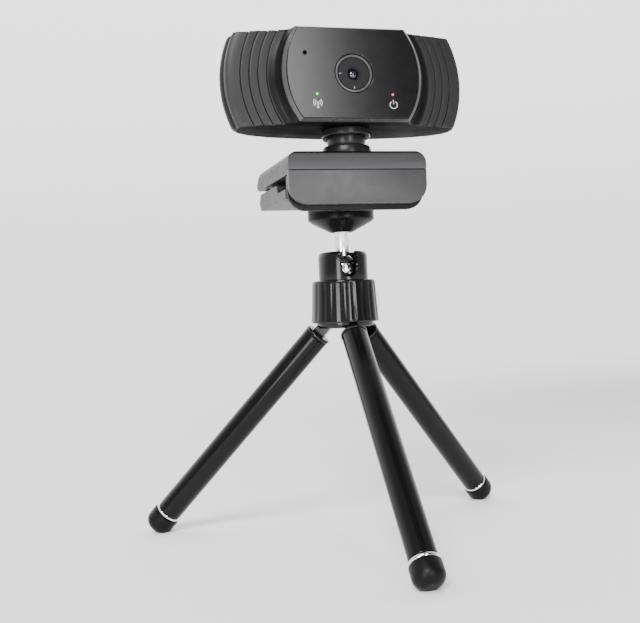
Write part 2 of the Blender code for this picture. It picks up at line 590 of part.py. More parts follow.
def wing_front_outline():
    """Front of the head from the middle outwards: pod, hollow beside it, ribs and outer band."""
    points = [(0.0, POD_FRONT_Y), (14.0, POD_FRONT_Y), (28.9, POD_FRONT_Y), (29.6, -25.6), (31.2, -23.6)]
    for number, x in enumerate(RIB_LINES):
        y = RIB_FIRST_Y + RIB_SWEEP * number
        points.append((x - 0.2, y))
        points.append((x + 0.1, y + 0.9))
    points += [(RIB_LINES[-1] + 0.6, RIB_FIRST_Y + RIB_SWEEP * 3 + 0.6), (47.0, -18.3), (49.3, -15.9)]
    return points


def build_shells():
    front_outline = wing_front_outline() + [(49.0, HEAD_SPLIT_Y - 0.2), (0.0, HEAD_SPLIT_Y - 0.2)]
    front = head_loft("front_shell", front_outline, HEAD_HALF_HEIGHT, 8, SATIN_BLACK)
    hollow = [(0.0, POD_FRONT_Y + WALL), (26.5, POD_FRONT_Y + WALL), (30.5, -21.0), (42.5, -18.4),
              (46.4, -15.9), (46.4, -12.0), (0.0, -12.0)]
    combine(front, head_loft("front_hollow", hollow, HEAD_HALF_HEIGHT - WALL, 6))

    rear_outline = [(0.0, HEAD_SPLIT_Y + 0.1), (49.4, HEAD_SPLIT_Y + 0.1), (50.4, -14.6),
                    (WING_HALF_WIDTH, -12.8), (50.6, -10.4), (48.6, -7.0), (44.0, -3.4),
                    (36.0, -0.2), (24.0, 2.0), (12.0, 2.9), (0.0, 3.0)]
    rear = head_loft("rear_shell", rear_outline, HEAD_HALF_HEIGHT, 8, SATIN_BLACK)
    hollow = [(0.0, -20.0), (47.0, -20.0), (48.4, -13.0), (46.4, -7.6), (35.0, -2.4), (23.4, -0.1),
              (0.0, 0.9)]
    combine(rear, head_loft("rear_hollow", hollow, HEAD_HALF_HEIGHT - WALL, 6))

    for side, name in ((-1, "left"), (1, "right")):
        place = (side * BOSS_X, 0.0, HEAD_Z)
        combine(front, rod(f"case_boss_{name}", 2.6, 8.0, 22.5, "head_axis", place, None, 12, "-Y"),
                'UNION')
        cut_round(front, f"boss_bore_{name}", 1.3, 7.0, 16.0, "head_axis", place, "-Y", 12)
        cut_round(rear, f"case_screw_hole_{name}", 1.3, -5.0, 7.0, "head_axis", place, "-Y", 12)
        cut_round(rear, f"case_screw_sink_{name}", 2.6, -5.0, 0.9, "head_axis", place, "-Y", 16)
        screw = [(0.0, 14.0), (1.0, 14.0), (1.0, 0.6), (2.2, 0.6), (2.2, -0.3), (1.4, -0.8), (0.0, -0.8)]
        turned(f"case_screw_{name}", screw, "head_axis", place, STEEL, 12, "-Y")
        light_place = (side * LIGHT_X, 0.0, LIGHT_Z)
        cut_round(front, f"light_hole_{name}", 1.0, 20.0, 30.0, "head_axis", light_place, "-Y", 12)
    neck_place = (0.0, NECK_Y, 0.0)
    for shell, name in ((front, "front"), (rear, "rear")):
        cut_round(shell, f"neck_hole_{name}", NECK_HOLE_R, 160.0, 174.0, "head_axis", neck_place, "Z", 20)
    lens_place = (0.0, 0.0, HEAD_Z)
    cut_round(front, "barrel_hole", 5.4, 20.0, 30.0, "head_axis", lens_place, "-Y", 20)
    cut_round(front, "microphone_hole", 0.6, 20.0, 30.0, "head_axis", (MIC_X, 0.0, MIC_Z), "-Y", 8)
    cut_round(rear, "cable_hole", 3.3, -6.0, 2.0, "head_axis", (0.0, 0.0, CABLE_Z), "-Y", 16)


CABLE_Z = 176.0
FOCUS_R = 7.6


def arc_sided(half_width, half_height, count=8):
    """An outline with flat top and bottom and arcs of the face's radius left and right."""
    points = []
    for i in range(count + 1):
        height = half_height * (2.0 * i / count - 1.0)
        points.append((half_width - FACE_ARC_R + math.sqrt(FACE_ARC_R ** 2 - height ** 2), height))
    return points + [(-x, -z) for x, z in points]


def build_face():
    middle = (0.0, 0.0, HEAD_Z)
    thickness = POD_FRONT_Y - GAP - FACE_Y
    at = (0.0, FACE_Y + thickness / 2.0, HEAD_Z)
    hole = arc((0.0, 0.0), FOCUS_R + GAP, 0.0, -360.0, 32)[:-1]
    face = plate("face_plate", [arc_sided(FACE_HALF_WIDTH, FACE_HALF_HEIGHT), hole], thickness,
                 "head_axis", at, FACE_BLACK, STANDING)
    rim = thickness - 0.5
    outer = arc_sided(FACE_HALF_WIDTH + 1.6, HEAD_HALF_HEIGHT - 0.1)
    inner = arc_sided(FACE_HALF_WIDTH + GAP, FACE_HALF_HEIGHT + GAP)
    plate("bezel", [outer, inner], rim, "head_axis", (0.0, FACE_Y + 0.5 + rim / 2.0, HEAD_Z),
          SATIN_BLACK, STANDING)
    cut_round(face, "face_microphone_hole", 0.5, 20.0, 40.0, "head_axis", (MIC_X, 0.0, MIC_Z), "-Y", 8)
    for side, name in ((-1, "left"), (1, "right")):
        place = (side * LIGHT_X, 0.0, LIGHT_Z)
        cut_round(face, f"face_light_hole_{name}", 0.9, 20.0, 40.0, "head_axis", place, "-Y", 12)
        rod(f"light_guide_{name}", 0.6, 11.6, 29.8, "head_axis", place, GLASS, 12, "-Y")

    ring = [(6.6, 29.9), (FOCUS_R, 29.9), (FOCUS_R, 27.8), (6.6, 27.8)]
    turned("focus_ring", ring, "head_axis", middle, SATIN_BLACK, 32, "-Y")
    sleeve("lens_disc", 6.3, 2.3, 27.8, 29.3, "head_axis", middle, FACE_BLACK, 32, "-Y")
    dome = [(0.0, 29.2), (1.0, 29.0), (1.7, 28.5), (2.0, 27.9), (2.0, 27.3), (0.0, 27.3)]
    turned("lens_glass", dome, "head_axis", middle, GLASS, 20, "-Y")
    sleeve("lens_barrel", 5.0, 2.4, 17.6, 27.0, "head_axis", middle, SATIN_BLACK, 20, "-Y")


def build_inside():
    middle = (0.0, 0.0, HEAD_Z)
    board_front = -10.0
    low_z = 174.6
    holder = box("lens_holder", (-7.0, -17.3, HEAD_Z - 7.0), (7.0, board_front - GAP, HEAD_Z + 7.0),
                 "head_axis", SATIN_BLACK)
    cut_box(holder, "holder_room", (-4.5, -14.0, HEAD_Z - 4.5), (4.5, -9.0, HEAD_Z + 4.5), "head_axis")
    cut_round(holder, "holder_bore", 2.4, 13.0, 19.0, "head_axis", middle, "-Y", 16)
    box("image_sensor", (-3.5, -11.4, HEAD_Z - 3.5), (3.5, board_front - GAP, HEAD_Z + 3.5),
        "head_axis", GLASS)
    box("main_board", (-26.0, board_front, low_z), (26.0, board_front + 1.2, 203.0), "head_axis", BOARD)
    for side, name, material in ((-1, "green", LIGHT_GREEN), (1, "red", LIGHT_RED)):
        box(f"light_{name}", (side * LIGHT_X - 1.0, board_front - 1.2, LIGHT_Z - 0.6),
            (side * LIGHT_X + 1.0, board_front - GAP, LIGHT_Z + 0.6), "head_axis", material)
    rod("microphone", 2.0, 22.6, 25.0, "head_axis", (MIC_X, 0.0, MIC_Z), STEEL, 16, "-Y")
    collar = [(NECK_BALL_R - 0.4, 168.7), (10.0, 168.7), (10.0, 166.0), (9.6, 165.5),
              (NECK_BALL_R + GAP, 165.5), (NECK_BALL_R + 0.2, 166.2)]
    turned("neck_collar", collar, "head_axis", (0.0, NECK_Y, 0.0), SATIN_BLACK, 24)
    gland = [(2.0, 3.0), (4.4, 3.0), (4.4, 1.6), (3.0, 1.6), (3.0, -6.5), (2.6, -7.0), (2.0, -7.0)]
    turned("cable_gland", gland, "head_axis", (0.0, 0.0, CABLE_Z), RUBBER, 16, "-Y")


build_hub()
for leg_number in LEG_NUMBERS:
    build_leg(leg_number)
build_ball_head()
build_lower_arm()
build_lower_fittings()
build_upper_arm()
build_upper_fittings()
build_neck()
build_shells()
build_face()
build_inside()
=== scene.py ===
"""Looks of the webcam on its mini tripod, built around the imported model.

Lengths inside the piece functions are millimetres in the part's assembly frame: the Z axis is the
tripod's stud and the front faces -Y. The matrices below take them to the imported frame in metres.
"""
import json
import math

import bmesh
import bpy
from mathutils import Matrix, Vector


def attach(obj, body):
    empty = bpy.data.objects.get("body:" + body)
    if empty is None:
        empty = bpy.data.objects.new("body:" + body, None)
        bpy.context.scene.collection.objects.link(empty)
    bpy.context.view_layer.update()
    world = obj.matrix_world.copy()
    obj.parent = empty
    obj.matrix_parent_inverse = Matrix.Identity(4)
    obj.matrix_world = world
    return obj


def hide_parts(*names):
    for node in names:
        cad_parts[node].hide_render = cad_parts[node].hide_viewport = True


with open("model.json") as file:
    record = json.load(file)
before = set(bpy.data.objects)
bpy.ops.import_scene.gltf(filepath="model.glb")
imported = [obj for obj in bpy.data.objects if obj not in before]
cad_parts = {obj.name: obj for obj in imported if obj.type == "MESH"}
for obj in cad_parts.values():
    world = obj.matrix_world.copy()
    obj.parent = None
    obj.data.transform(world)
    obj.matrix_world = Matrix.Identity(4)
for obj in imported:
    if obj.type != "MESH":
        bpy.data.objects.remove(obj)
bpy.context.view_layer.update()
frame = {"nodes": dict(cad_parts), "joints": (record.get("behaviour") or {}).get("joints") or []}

MM = 0.001
JOINT = {joint["name"]: joint for joint in frame["joints"]}


def joint_place(name):
    return Vector(JOINT[name]["pos_m"])


STUD = joint_place("ball_tilt")
NECK = joint_place("head_tilt")
HEAD_TILT = math.asin(JOINT["focus_turn"]["axis"][2])
ASSEMBLY = Matrix.Translation((0.0, STUD.y, 0.0)) @ Matrix.Scale(MM, 4)
HEAD_LEAN = Matrix.Rotation(-HEAD_TILT, 4, 'X')
HEAD = Matrix.Translation(NECK) @ HEAD_LEAN @ Matrix.Translation(-NECK) @ ASSEMBLY
LEGS = (1, 2, 3)


def leg_turn(number):
    """The turn about Z that points X outwards along a leg."""
    axis = JOINT[f"leg_fold_{number}"]["axis"]
    return Matrix.Rotation(math.atan2(-axis[0], axis[1]), 4, 'Z')


def leg_matrix(number):
    """The leg's own frame: its pivot at the origin, its foot down the -Z axis."""
    joint = JOINT[f"leg_fold_{number}"]
    splay = math.radians(joint["range_deg"][1])
    turn = leg_turn(number) @ Matrix.Rotation(-splay, 4, 'Y')
    return Matrix.Translation(joint["pos_m"]) @ turn @ Matrix.Scale(MM, 4)


# -------- materials

def link(tree, source, out_name, target, in_name):
    tree.links.new(source.outputs[out_name], target.inputs[in_name])


def add_node(tree, kind, **values):
    """A new node with its inputs set by name; an underscore stands for a space."""
    node = tree.nodes.new(kind)
    set_inputs(node, **values)
    return node


def set_inputs(node, **values):
    for name, value in values.items():
        node.inputs[name.replace("_", " ")].default_value = value


def opaque(colour):
    return (*[min(1.0, c) for c in colour], 1.0)


def add_colour_mix(tree, **colours):
    node = tree.nodes.new("ShaderNodeMix")
    node.data_type = 'RGBA'
    set_inputs(node, **{name: opaque(colour) for name, colour in colours.items()})
    return node


def make_surface(name, colour, roughness, metallic=0.0, grain=0.35, bump=0.1, spread=0.12,
                 rough_spread=0.08, coat=0.0, wear=0.0, stretch=(1.0, 1.0, 1.0), specular=0.5):
    """A moulded, painted or metal surface: grain (mm), blotches, smudged gloss and worn edges."""
    material = bpy.data.materials.new(name)
    material.use_nodes = True
    tree = material.node_tree
    shader = tree.nodes["Principled BSDF"]
    set_inputs(shader, Metallic=metallic, Specular_IOR_Level=specular, Coat_Weight=coat, Coat_Roughness=0.05)

    mapping = add_node(tree, "ShaderNodeMapping", Scale=stretch)
    link(tree, tree.nodes.new("ShaderNodeTexCoord"), "Object", mapping, "Vector")

    broad = add_node(tree, "ShaderNodeTexNoise", Scale=45.0, Detail=4.0)
    link(tree, mapping, "Vector", broad, "Vector")
    tint = add_colour_mix(tree, A=[c * (1.0 - spread) for c in colour],
                          B=[c * (1.0 + spread) for c in colour])
    link(tree, broad, "Fac", tint, "Factor")
    colour_source = tint

    if wear > 0.0:
        edge = add_node(tree, "ShaderNodeMapRange", From_Min=0.53, From_Max=0.62, To_Max=wear)
        link(tree, tree.nodes.new("ShaderNodeNewGeometry"), "Pointiness", edge, "Value")
        worn = add_colour_mix(tree, B=[2.6 * c + 0.03 for c in colour])
        link(tree, edge, "Result", worn, "Factor")
        link(tree, tint, "Result", worn, "A")
        colour_source = worn
    link(tree, colour_source, "Result", shader, "Base Color")

    fine = add_node(tree, "ShaderNodeTexNoise", Scale=1.0 / (grain * MM), Detail=3.0)
    link(tree, mapping, "Vector", fine, "Vector")
    smudge = add_node(tree, "ShaderNodeTexNoise", Scale=140.0, Detail=6.0, Roughness=0.7)
    link(tree, mapping, "Vector", smudge, "Vector")
    gloss = add_node(tree, "ShaderNodeMapRange", From_Min=0.3, From_Max=0.7,
                     To_Min=max(0.02, roughness - rough_spread), To_Max=roughness + rough_spread)
    link(tree, smudge, "Fac", gloss, "Value")
    link(tree, gloss, "Result", shader, "Roughness")
    relief = add_node(tree, "ShaderNodeBump", Strength=bump, Distance=grain * MM * 0.3)
    link(tree, fine, "Fac", relief, "Height")
    link(tree, relief, "Normal", shader, "Normal")
    return material


HEAD_BLACK = make_surface("head_plastic", (0.0195, 0.0195, 0.02), 0.42, bump=0.2, wear=0.25, specular=0.25)
REAR_BLACK = make_surface("rear_plastic", (0.01, 0.01, 0.0105), 0.42, bump=0.2, wear=0.25, specular=0.15)
# A darker, duller copy of the head plastic for the shells' bottom faces: painted shade under the head.
UNDERSIDE_SHADE_BLACK = make_surface("head_underside_painted_shade", (0.004, 0.004, 0.0042), 0.5, bump=0.15, specular=0.02)
# A darker copy of the head plastic for the cove between the bezel and the first rib: painted shade on the
# pod's side.
COVE_SHADE_BLACK = make_surface("head_cove_painted_shade", (0.005, 0.005, 0.0053), 0.35, bump=0.08, specular=0.12)
BEZEL_BLACK = make_surface("bezel_plastic", (0.05, 0.05, 0.052), 0.3, grain=0.3, bump=0.1, wear=0.3)
FACE_BLACK = make_surface("face_gloss", (0.0035, 0.0035, 0.004), 0.17, grain=0.5, bump=0.01,
                          rough_spread=0.015)
DISC_BLACK = make_surface("disc_satin", (0.012, 0.012, 0.0125), 0.35, grain=0.5, bump=0.03, specular=0.15)
CLIP_BLACK = make_surface("clip_plastic", (0.041, 0.041, 0.043), 0.4, bump=0.08, wear=0.25, specular=0.12)
# A darker copy of the clip plastic for the upper arm's top face: painted shade, darker than the sides.
CLIP_TOP_SHADE_BLACK = make_surface("clip_top_painted_shade", (0.006, 0.006, 0.0065), 0.25, bump=0.06, specular=0.3)
FASCIA_BLACK = make_surface("fascia_plastic", (0.034, 0.034, 0.035), 0.42, bump=0.25, wear=0.2)
# A near-black copy of the clip plastic for the foot lip, set back behind the fascia: painted shade.
LIP_SHADE_BLACK = make_surface("lip_plastic_painted_shade", (0.004, 0.004, 0.0042), 0.38, bump=0.1, wear=0.25, specular=0.15)
DISC_MOUNT_BLACK = make_surface("mount_disc_plastic", (0.005, 0.005, 0.0055), 0.3, bump=0.08,
                                wear=0.2, specular=0.1)
NECK_BLACK = make_surface("neck_plastic", (0.01, 0.01, 0.0105), 0.3, grain=0.3, bump=0.12, wear=0.2,
                          specular=0.3)
TRIPOD_BLACK = make_surface("tripod_plastic", (0.005, 0.005, 0.0055), 0.14, grain=0.4, bump=0.05,
                            rough_spread=0.04, wear=0.2, specular=0.32)
LEG_BLACK = make_surface("leg_lacquer", (0.004, 0.004, 0.0045), 0.13, grain=0.5, bump=0.04,
                         rough_spread=0.05, specular=0.18, stretch=(1.0, 1.0, 0.3))
RUBBER = make_surface("rubber", (0.0035, 0.0035, 0.0035), 0.36, grain=0.25, bump=0.3, rough_spread=0.1,
                      specular=0.14)
CHROME = make_surface("chrome", (0.83, 0.83, 0.84), 0.07, 1.0, grain=0.3, bump=0.02, spread=0.03,
                      rough_spread=0.04)
STEEL = make_surface("screw_steel", (0.62, 0.62, 0.63), 0.24, 1.0, grain=0.2, bump=0.08, spread=0.06)
BRASS = make_surface("brass", (0.72, 0.52, 0.24), 0.28, 1.0, grain=0.2, bump=0.08)
BOARD = make_surface("board_lacquer", (0.015, 0.11, 0.045), 0.35, grain=0.4, bump=0.2)
PRINT = make_surface("icon_print", (0.45, 0.45, 0.46), 0.5, grain=0.1, bump=0.05, spread=0.05)


def make_glass(name, colour, roughness, coat_colour):
    """A dark coated lens: nearly black with a coloured, hard reflection."""
    material = make_surface(name, colour, roughness, grain=0.5, bump=0.0, rough_spread=0.01, coat=1.0)
    set_inputs(material.node_tree.nodes["Principled BSDF"], Coat_Tint=opaque(coat_colour), IOR=1.6)
    return material


def make_glow(name, colour, strength):
    """A small light behind frosted plastic."""
    material = make_surface(name, colour, 0.3, grain=0.5, bump=0.05)
    set_inputs(material.node_tree.nodes["Principled BSDF"], Emission_Color=opaque(colour),
               Emission_Strength=strength)
    return material


LENS_GLASS = make_glass("lens_coating", (0.01, 0.008, 0.012), 0.03, (0.8, 0.75, 1.0))
GLOW_GREEN = make_glow("glow_green", (0.12, 0.9, 0.15), 3.0)
GLOW_RED = make_glow("glow_red", (0.95, 0.05, 0.04), 3.0)


# -------- mesh tools

FINE = "_fine"
ON_AXIS = 1e-6
NEARLY_STRAIGHT = math.radians(168.0)


def arc(centre, radius, start, end, count):
    """Points along an arc; angles in degrees, both ends included."""
    angles = [math.radians(start + (end - start) * i / count) for i in range(count + 1)]
    return [(centre[0] + radius * math.cos(a), centre[1] + radius * math.sin(a)) for a in angles]


def soften(points, radius, closed=True, count=4):
    """Round every corner of a polyline by at most radius, less where a side is short."""
    result = []
    size = len(points)
    for i, point in enumerate(points):
        here = Vector(point)
        if not closed and i in (0, size - 1):
            result.append(point)
            continue
        before = Vector(points[i - 1]) - here
        after = Vector(points[(i + 1) % size]) - here
        reach = min(radius, before.length * 0.45, after.length * 0.45)
        if reach < 1e-4 or before.angle(after) > NEARLY_STRAIGHT:
            result.append(point)
            continue
        first = here + before.normalized() * reach
        last = here + after.normalized() * reach
        for k in range(count + 1):
            t = k / count
            result.append(tuple(first * (1 - t) ** 2 + here * 2 * t * (1 - t) + last * t ** 2))
    return result


def outline_normals(outline):
    """At each point of a closed anticlockwise outline, the unit vector pointing out of it."""
    steps = [Vector(after) - Vector(before)
             for before, after in zip(outline[-1:] + outline[:-1], outline[1:] + outline[:1])]
    return [Vector((step.y, -step.x)).normalized() for step in steps]


def publish(name, work, matrix, material, body, smooth=35.0):
    """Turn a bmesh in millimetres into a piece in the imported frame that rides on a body.

    A piece called NODE_fine takes the place of that node.
    """
    bmesh.ops.transform(work, matrix=matrix, verts=work.verts)
    bmesh.ops.recalc_face_normals(work, faces=work.faces)
    mesh = bpy.data.meshes.new(name)
    work.to_mesh(mesh)
    work.free()
    obj = bpy.data.objects.new(name, mesh)
    bpy.context.scene.collection.objects.link(obj)
    mesh.shade_smooth()
    mesh.set_sharp_from_angle(angle=math.radians(smooth))
    if material:
        mesh.materials.append(material)
    if body:
        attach(obj, body)
        if name.endswith(FINE):
            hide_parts(name.removesuffix(FINE))
    return obj


def is_ring(profile):
    """Whether a turned profile, (radius, height) points from the top down, has a bore."""
    return profile[0][0] > ON_AXIS


def lathe_mesh(profile, steps=96):
    """A turned solid from the (radius, height) points of its outer side and, in a ring, its bore."""
    work = bmesh.new()
    columns = []
    for radius, height in profile:
        if radius < ON_AXIS:
            columns.append([work.verts.new((0.0, 0.0, height))])
        else:
            angles = [2.0 * math.pi * i / steps for i in range(steps)]
            columns.append([work.verts.new((radius * math.cos(a), radius * math.sin(a), height))
                            for a in angles])
    pairs = list(zip(columns, columns[1:]))
    if is_ring(profile):
        pairs.append((columns[-1], columns[0]))
    for upper, lower in pairs:
        for i in range(steps):
            j = (i + 1) % steps
            if len(upper) == 1 and len(lower) == 1:
                continue
            if len(upper) == 1:
                work.faces.new((upper[0], lower[i], lower[j]))
            elif len(lower) == 1:
                work.faces.new((upper[i], lower[0], upper[j]))
            else:
                work.faces.new((upper[i], lower[i], lower[j], upper[j]))
    return work


def lathe(name, profile, matrix, material, body, steps=96, edge=0.25):
    rounded = soften(profile, edge, closed=is_ring(profile))
    return publish(name, lathe_mesh(rounded, steps), matrix, material, body)


def stack_mesh(rows, paint=None, base_paint=0):
    """A solid from rows of points of one length, joined by quads and closed at both ends.

    The paint is a material slot for each column of quads, and one for the first end.
    """
    work = bmesh.new()
    rings = [[work.verts.new(point) for point in row] for row in rows]
    for first, second in zip(rings, rings[1:]):
        for i in range(len(first)):
            j = (i + 1) % len(first)
            face = work.faces.new((first[i], first[j], second[j], second[i]))
            face.material_index = paint[i] if paint else 0
    work.faces.new(list(reversed(rings[0]))).material_index = base_paint
    work.faces.new(rings[-1])
    return work


def prism_mesh(outline, low, high, holes=()):
    """A flat piece from a closed outline in X and Z, standing between two Y values."""
    work = bmesh.new()
    loops = [outline] + list(holes)
    edges = []
    for loop in loops:
        verts = [work.verts.new((u, low, v)) for u, v in loop]
        edges += [work.edges.new((a, b)) for a, b in zip(verts, verts[1:] + verts[:1])]
    bmesh.ops.triangle_fill(work, edges=edges, use_beauty=True)
    bmesh.ops.dissolve_limit(work, angle_limit=0.01, verts=[], edges=work.edges)
    faces = list(work.faces)
    moved = bmesh.ops.extrude_face_region(work, geom=faces)["geom"]
    bmesh.ops.translate(work, vec=(0.0, high - low, 0.0),
                        verts=[v for v in moved if isinstance(v, bmesh.types.BMVert)])
    return work


def box_mesh(low, high):
    work = bmesh.new()
    bmesh.ops.create_cube(work, size=1.0)
    size = [h - l for l, h in zip(low, high)]
    middle = [(h + l) / 2.0 for l, h in zip(low, high)]
    bmesh.ops.scale(work, vec=size, verts=work.verts)
    bmesh.ops.translate(work, vec=middle, verts=work.verts)
    return work


def round_edges(obj, width, segments=3, angle=40.0):
    bevel = obj.modifiers.new("round_edges", 'BEVEL')
    bevel.width = width * MM
    bevel.segments = segments
    bevel.limit_method = 'ANGLE'
    bevel.angle_limit = math.radians(angle)
    bevel.harden_normals = True


def apply_modifiers(obj):
    """Bake the modifiers into the mesh, so that the tools left over can be removed."""
    depsgraph = bpy.context.evaluated_depsgraph_get()
    mesh = bpy.data.meshes.new_from_object(obj.evaluated_get(depsgraph))
    obj.modifiers.clear()
    obj.data = mesh


def carve(obj, tools, operation='DIFFERENCE', smooth=35.0):
    """Cut or join solids, given as bmeshes in millimetres with their matrix."""
    helpers = []
    for work, matrix in tools:
        helper = publish("tool", work, matrix, None, None)
        boolean = obj.modifiers.new("carve", 'BOOLEAN')
        boolean.operation = operation
        boolean.object = helper
        weld = obj.modifiers.new("weld", 'WELD')
        weld.merge_threshold = 0.002 * MM
        helpers.append(helper)
    apply_modifiers(obj)
    for helper in helpers:
        bpy.data.objects.remove(helper, do_unlink=True)
    obj.data.shade_smooth()
    obj.data.set_sharp_from_angle(angle=math.radians(smooth))


def level_shading(obj):
    """Let the large flat faces decide the normals at their rims."""
    weighted = obj.modifiers.new("level_shading", 'WEIGHTED_NORMAL')
    weighted.keep_sharp = True
    weighted.weight = 80


def rod_mesh(radius, low, high, steps=48):
    return lathe_mesh([(0.0, high), (radius, high), (radius, low), (0.0, low)], steps)


ALONG_Y = Matrix.Rotation(math.radians(90.0), 4, 'X')     # a lathe's height then runs towards -Y
ALONG_X = Matrix.Rotation(math.radians(90.0), 4, 'Y')


def at(x, y, z):
    return Matrix.Translation((x, y, z))


# -------- head

HEAD_Z = 188.0
HALF_HEIGHT = 19.0
SPLIT_Y = -15.5
FLAT_INNER_X = 30.0            # further out, the mating faces' rims are inset sideways
POD_Y = -27.3
FACE_Y = -30.0
FACE_HALF_WIDTH = 27.2
FACE_HALF_HEIGHT = 18.0
FACE_ARC_R = 32.0
TIP_ARC_R = 45.0
WING_HALF_WIDTH = 51.0
RIB_LINES = [33.7, 37.1, 40.5, 43.9]
RIB_FIRST_Y = -23.0
RIB_SWEEP = 0.8
COVE_START = 28.4
COVE_END = RIB_LINES[0] - 0.3
COVE_BACK_Y = RIB_FIRST_Y + 0.5
# Slots 1 and 2 hold darker copies of the head plastic: painted shade in the cove beside the pod and under the
# head.
COVE = 1                       # material slots of the shells
UNDERSIDE = 2
NECK_Y = -13.0
BALL_Z = 165.0
BALL_R = 8.0
LIGHT_X = 15.6
LIGHT_Z = HEAD_Z - 8.4
MIC_X = -19.6
MIC_Z = HEAD_Z + 7.8
CABLE_Z = 176.0
BOSS_X = 30.5
NECK_HOLE_R = 8.7
LENS_BORE_R = 5.4
LIGHT_BORE_R = 1.0
MIC_BORE_R = 0.6
WALL = 2.0
ICON_STROKE = 0.36
FACE_PLACE = HEAD @ at(0.0, 0.0, HEAD_Z)
NECK_PLACE = HEAD @ at(0.0, NECK_Y, 0.0)


def facing(x, z):
    """The place of a turned piece in the head whose height runs towards the front."""
    return HEAD @ at(x, 0.0, z) @ ALONG_Y


def arc_sag(x, height):
    """How far a line of the head pulls in at a height above or below the middle."""
    share = max(0.0, min(1.0, (abs(x) - FACE_HALF_WIDTH) / (WING_HALF_WIDTH - FACE_HALF_WIDTH)))
    radius = FACE_ARC_R + (TIP_ARC_R - FACE_ARC_R) * share
    strength = min(1.0, abs(x) / FACE_HALF_WIDTH)
    return strength * (radius - math.sqrt(radius ** 2 - height ** 2))


def edge_levels(half_height, edge, straight=28, round_steps=5):
    """Heights from bottom to top, with how far the outline is inset where the edge is rounded."""
    turn = [math.radians(90.0 * k / round_steps) for k in range(round_steps + 1)]
    corner = [(half_height - edge + edge * math.sin(a), edge * (1.0 - math.cos(a))) for a in turn]
    body = [-half_height + edge + 2.0 * (half_height - edge) * k / straight for k in range(1, straight)]
    lower = [(-h, inset) for h, inset in reversed(corner)]
    return lower + [(h, 0.0) for h in body] + corner


def head_loft_mesh(half_outline, half_height, edge=0.0, flat_y=None):
    """Stack a plan outline, pulled in along the arcs, with rounded top and bottom edges.

    Points on the flat mating face at flat_y keep their Y when the outline is inset.
    """
    outline = half_outline + [(-x, y) for x, y in reversed(half_outline) if x > ON_AXIS]
    normals = outline_normals(outline)
    for i, (x, y) in enumerate(outline):
        if flat_y is not None and abs(y - flat_y) < 1e-4:
            normals[i] = Vector((math.copysign(1.0, x) if abs(x) > FLAT_INNER_X else 0.0, 0.0))
    levels = edge_levels(half_height, edge) if edge else [(half_height * (k / 6.0 - 1.0), 0.0)
                                                          for k in range(13)]
    rows = []
    for height, inset in levels:
        row = []
        for (x, y), normal in zip(outline, normals):
            x_in = x - normal.x * inset
            pulled = math.copysign(max(0.0, abs(x_in) - arc_sag(x, height)), x)
            row.append((pulled, y - normal.y * inset, HEAD_Z + height))
        rows.append(row)
    # Faces in the cove between the bezel and the first rib take the cove slot: painted shade on the pod's
    # side.
    paint = []
    for (x, y), (next_x, next_y) in zip(outline, outline[1:] + outline[:1]):
        in_cove = COVE_START < abs(x + next_x) / 2.0 < COVE_END and (y + next_y) / 2.0 < COVE_BACK_Y
        paint.append(COVE if in_cove else 0)
    # The bottom end takes the underside slot: painted shade under the head.
    return stack_mesh(rows, paint, UNDERSIDE)


def wing_front():
    """Front of the head from the middle outwards, anticlockwise seen from above."""
    points = [(26.0 * k / 8.0, POD_Y) for k in range(9)]
    points += soften([(27.5, POD_Y), (28.9, POD_Y), (29.3, -26.0), (30.4, -24.2), (32.6, -23.4)],
                     0.8, closed=False)
    for number, x in enumerate(RIB_LINES):
        y = RIB_FIRST_Y + RIB_SWEEP * number
        end_x = RIB_LINES[number + 1] if number < 3 else x + 2.2
        start = (x + 0.3, y + 0.35)
        points += [(x - 0.35, y - 0.18), (x - 0.12, y - 0.05), (x - 0.08, y + 1.15), (x + 0.2, y + 1.15)]
        points.append(start)
        if number < 3:
            for k in (1, 2, 3):
                share = k / 4.0
                crown = 0.12 * math.sin(math.pi * share)
                points.append((start[0] + (end_x - start[0]) * share,
                               start[1] + (RIB_SWEEP - 0.4) * share - crown))
    points += [(45.8, -20.0), (47.4, -19.65), (48.7, -19.25), (49.35, -18.8), (49.7, -18.1), (49.8, -16.2)]
    return points


def publish_shell(name, mesh, material, smooth):
    shell = publish(name, mesh, HEAD, material, "head", smooth)
    # The second slot is a darker copy of the head plastic: painted shade in the cove.
    shell.data.materials.append(COVE_SHADE_BLACK)
    # The third slot is a darker copy of the head plastic: painted shade under the head.
    shell.data.materials.append(UNDERSIDE_SHADE_BLACK)
    return shell


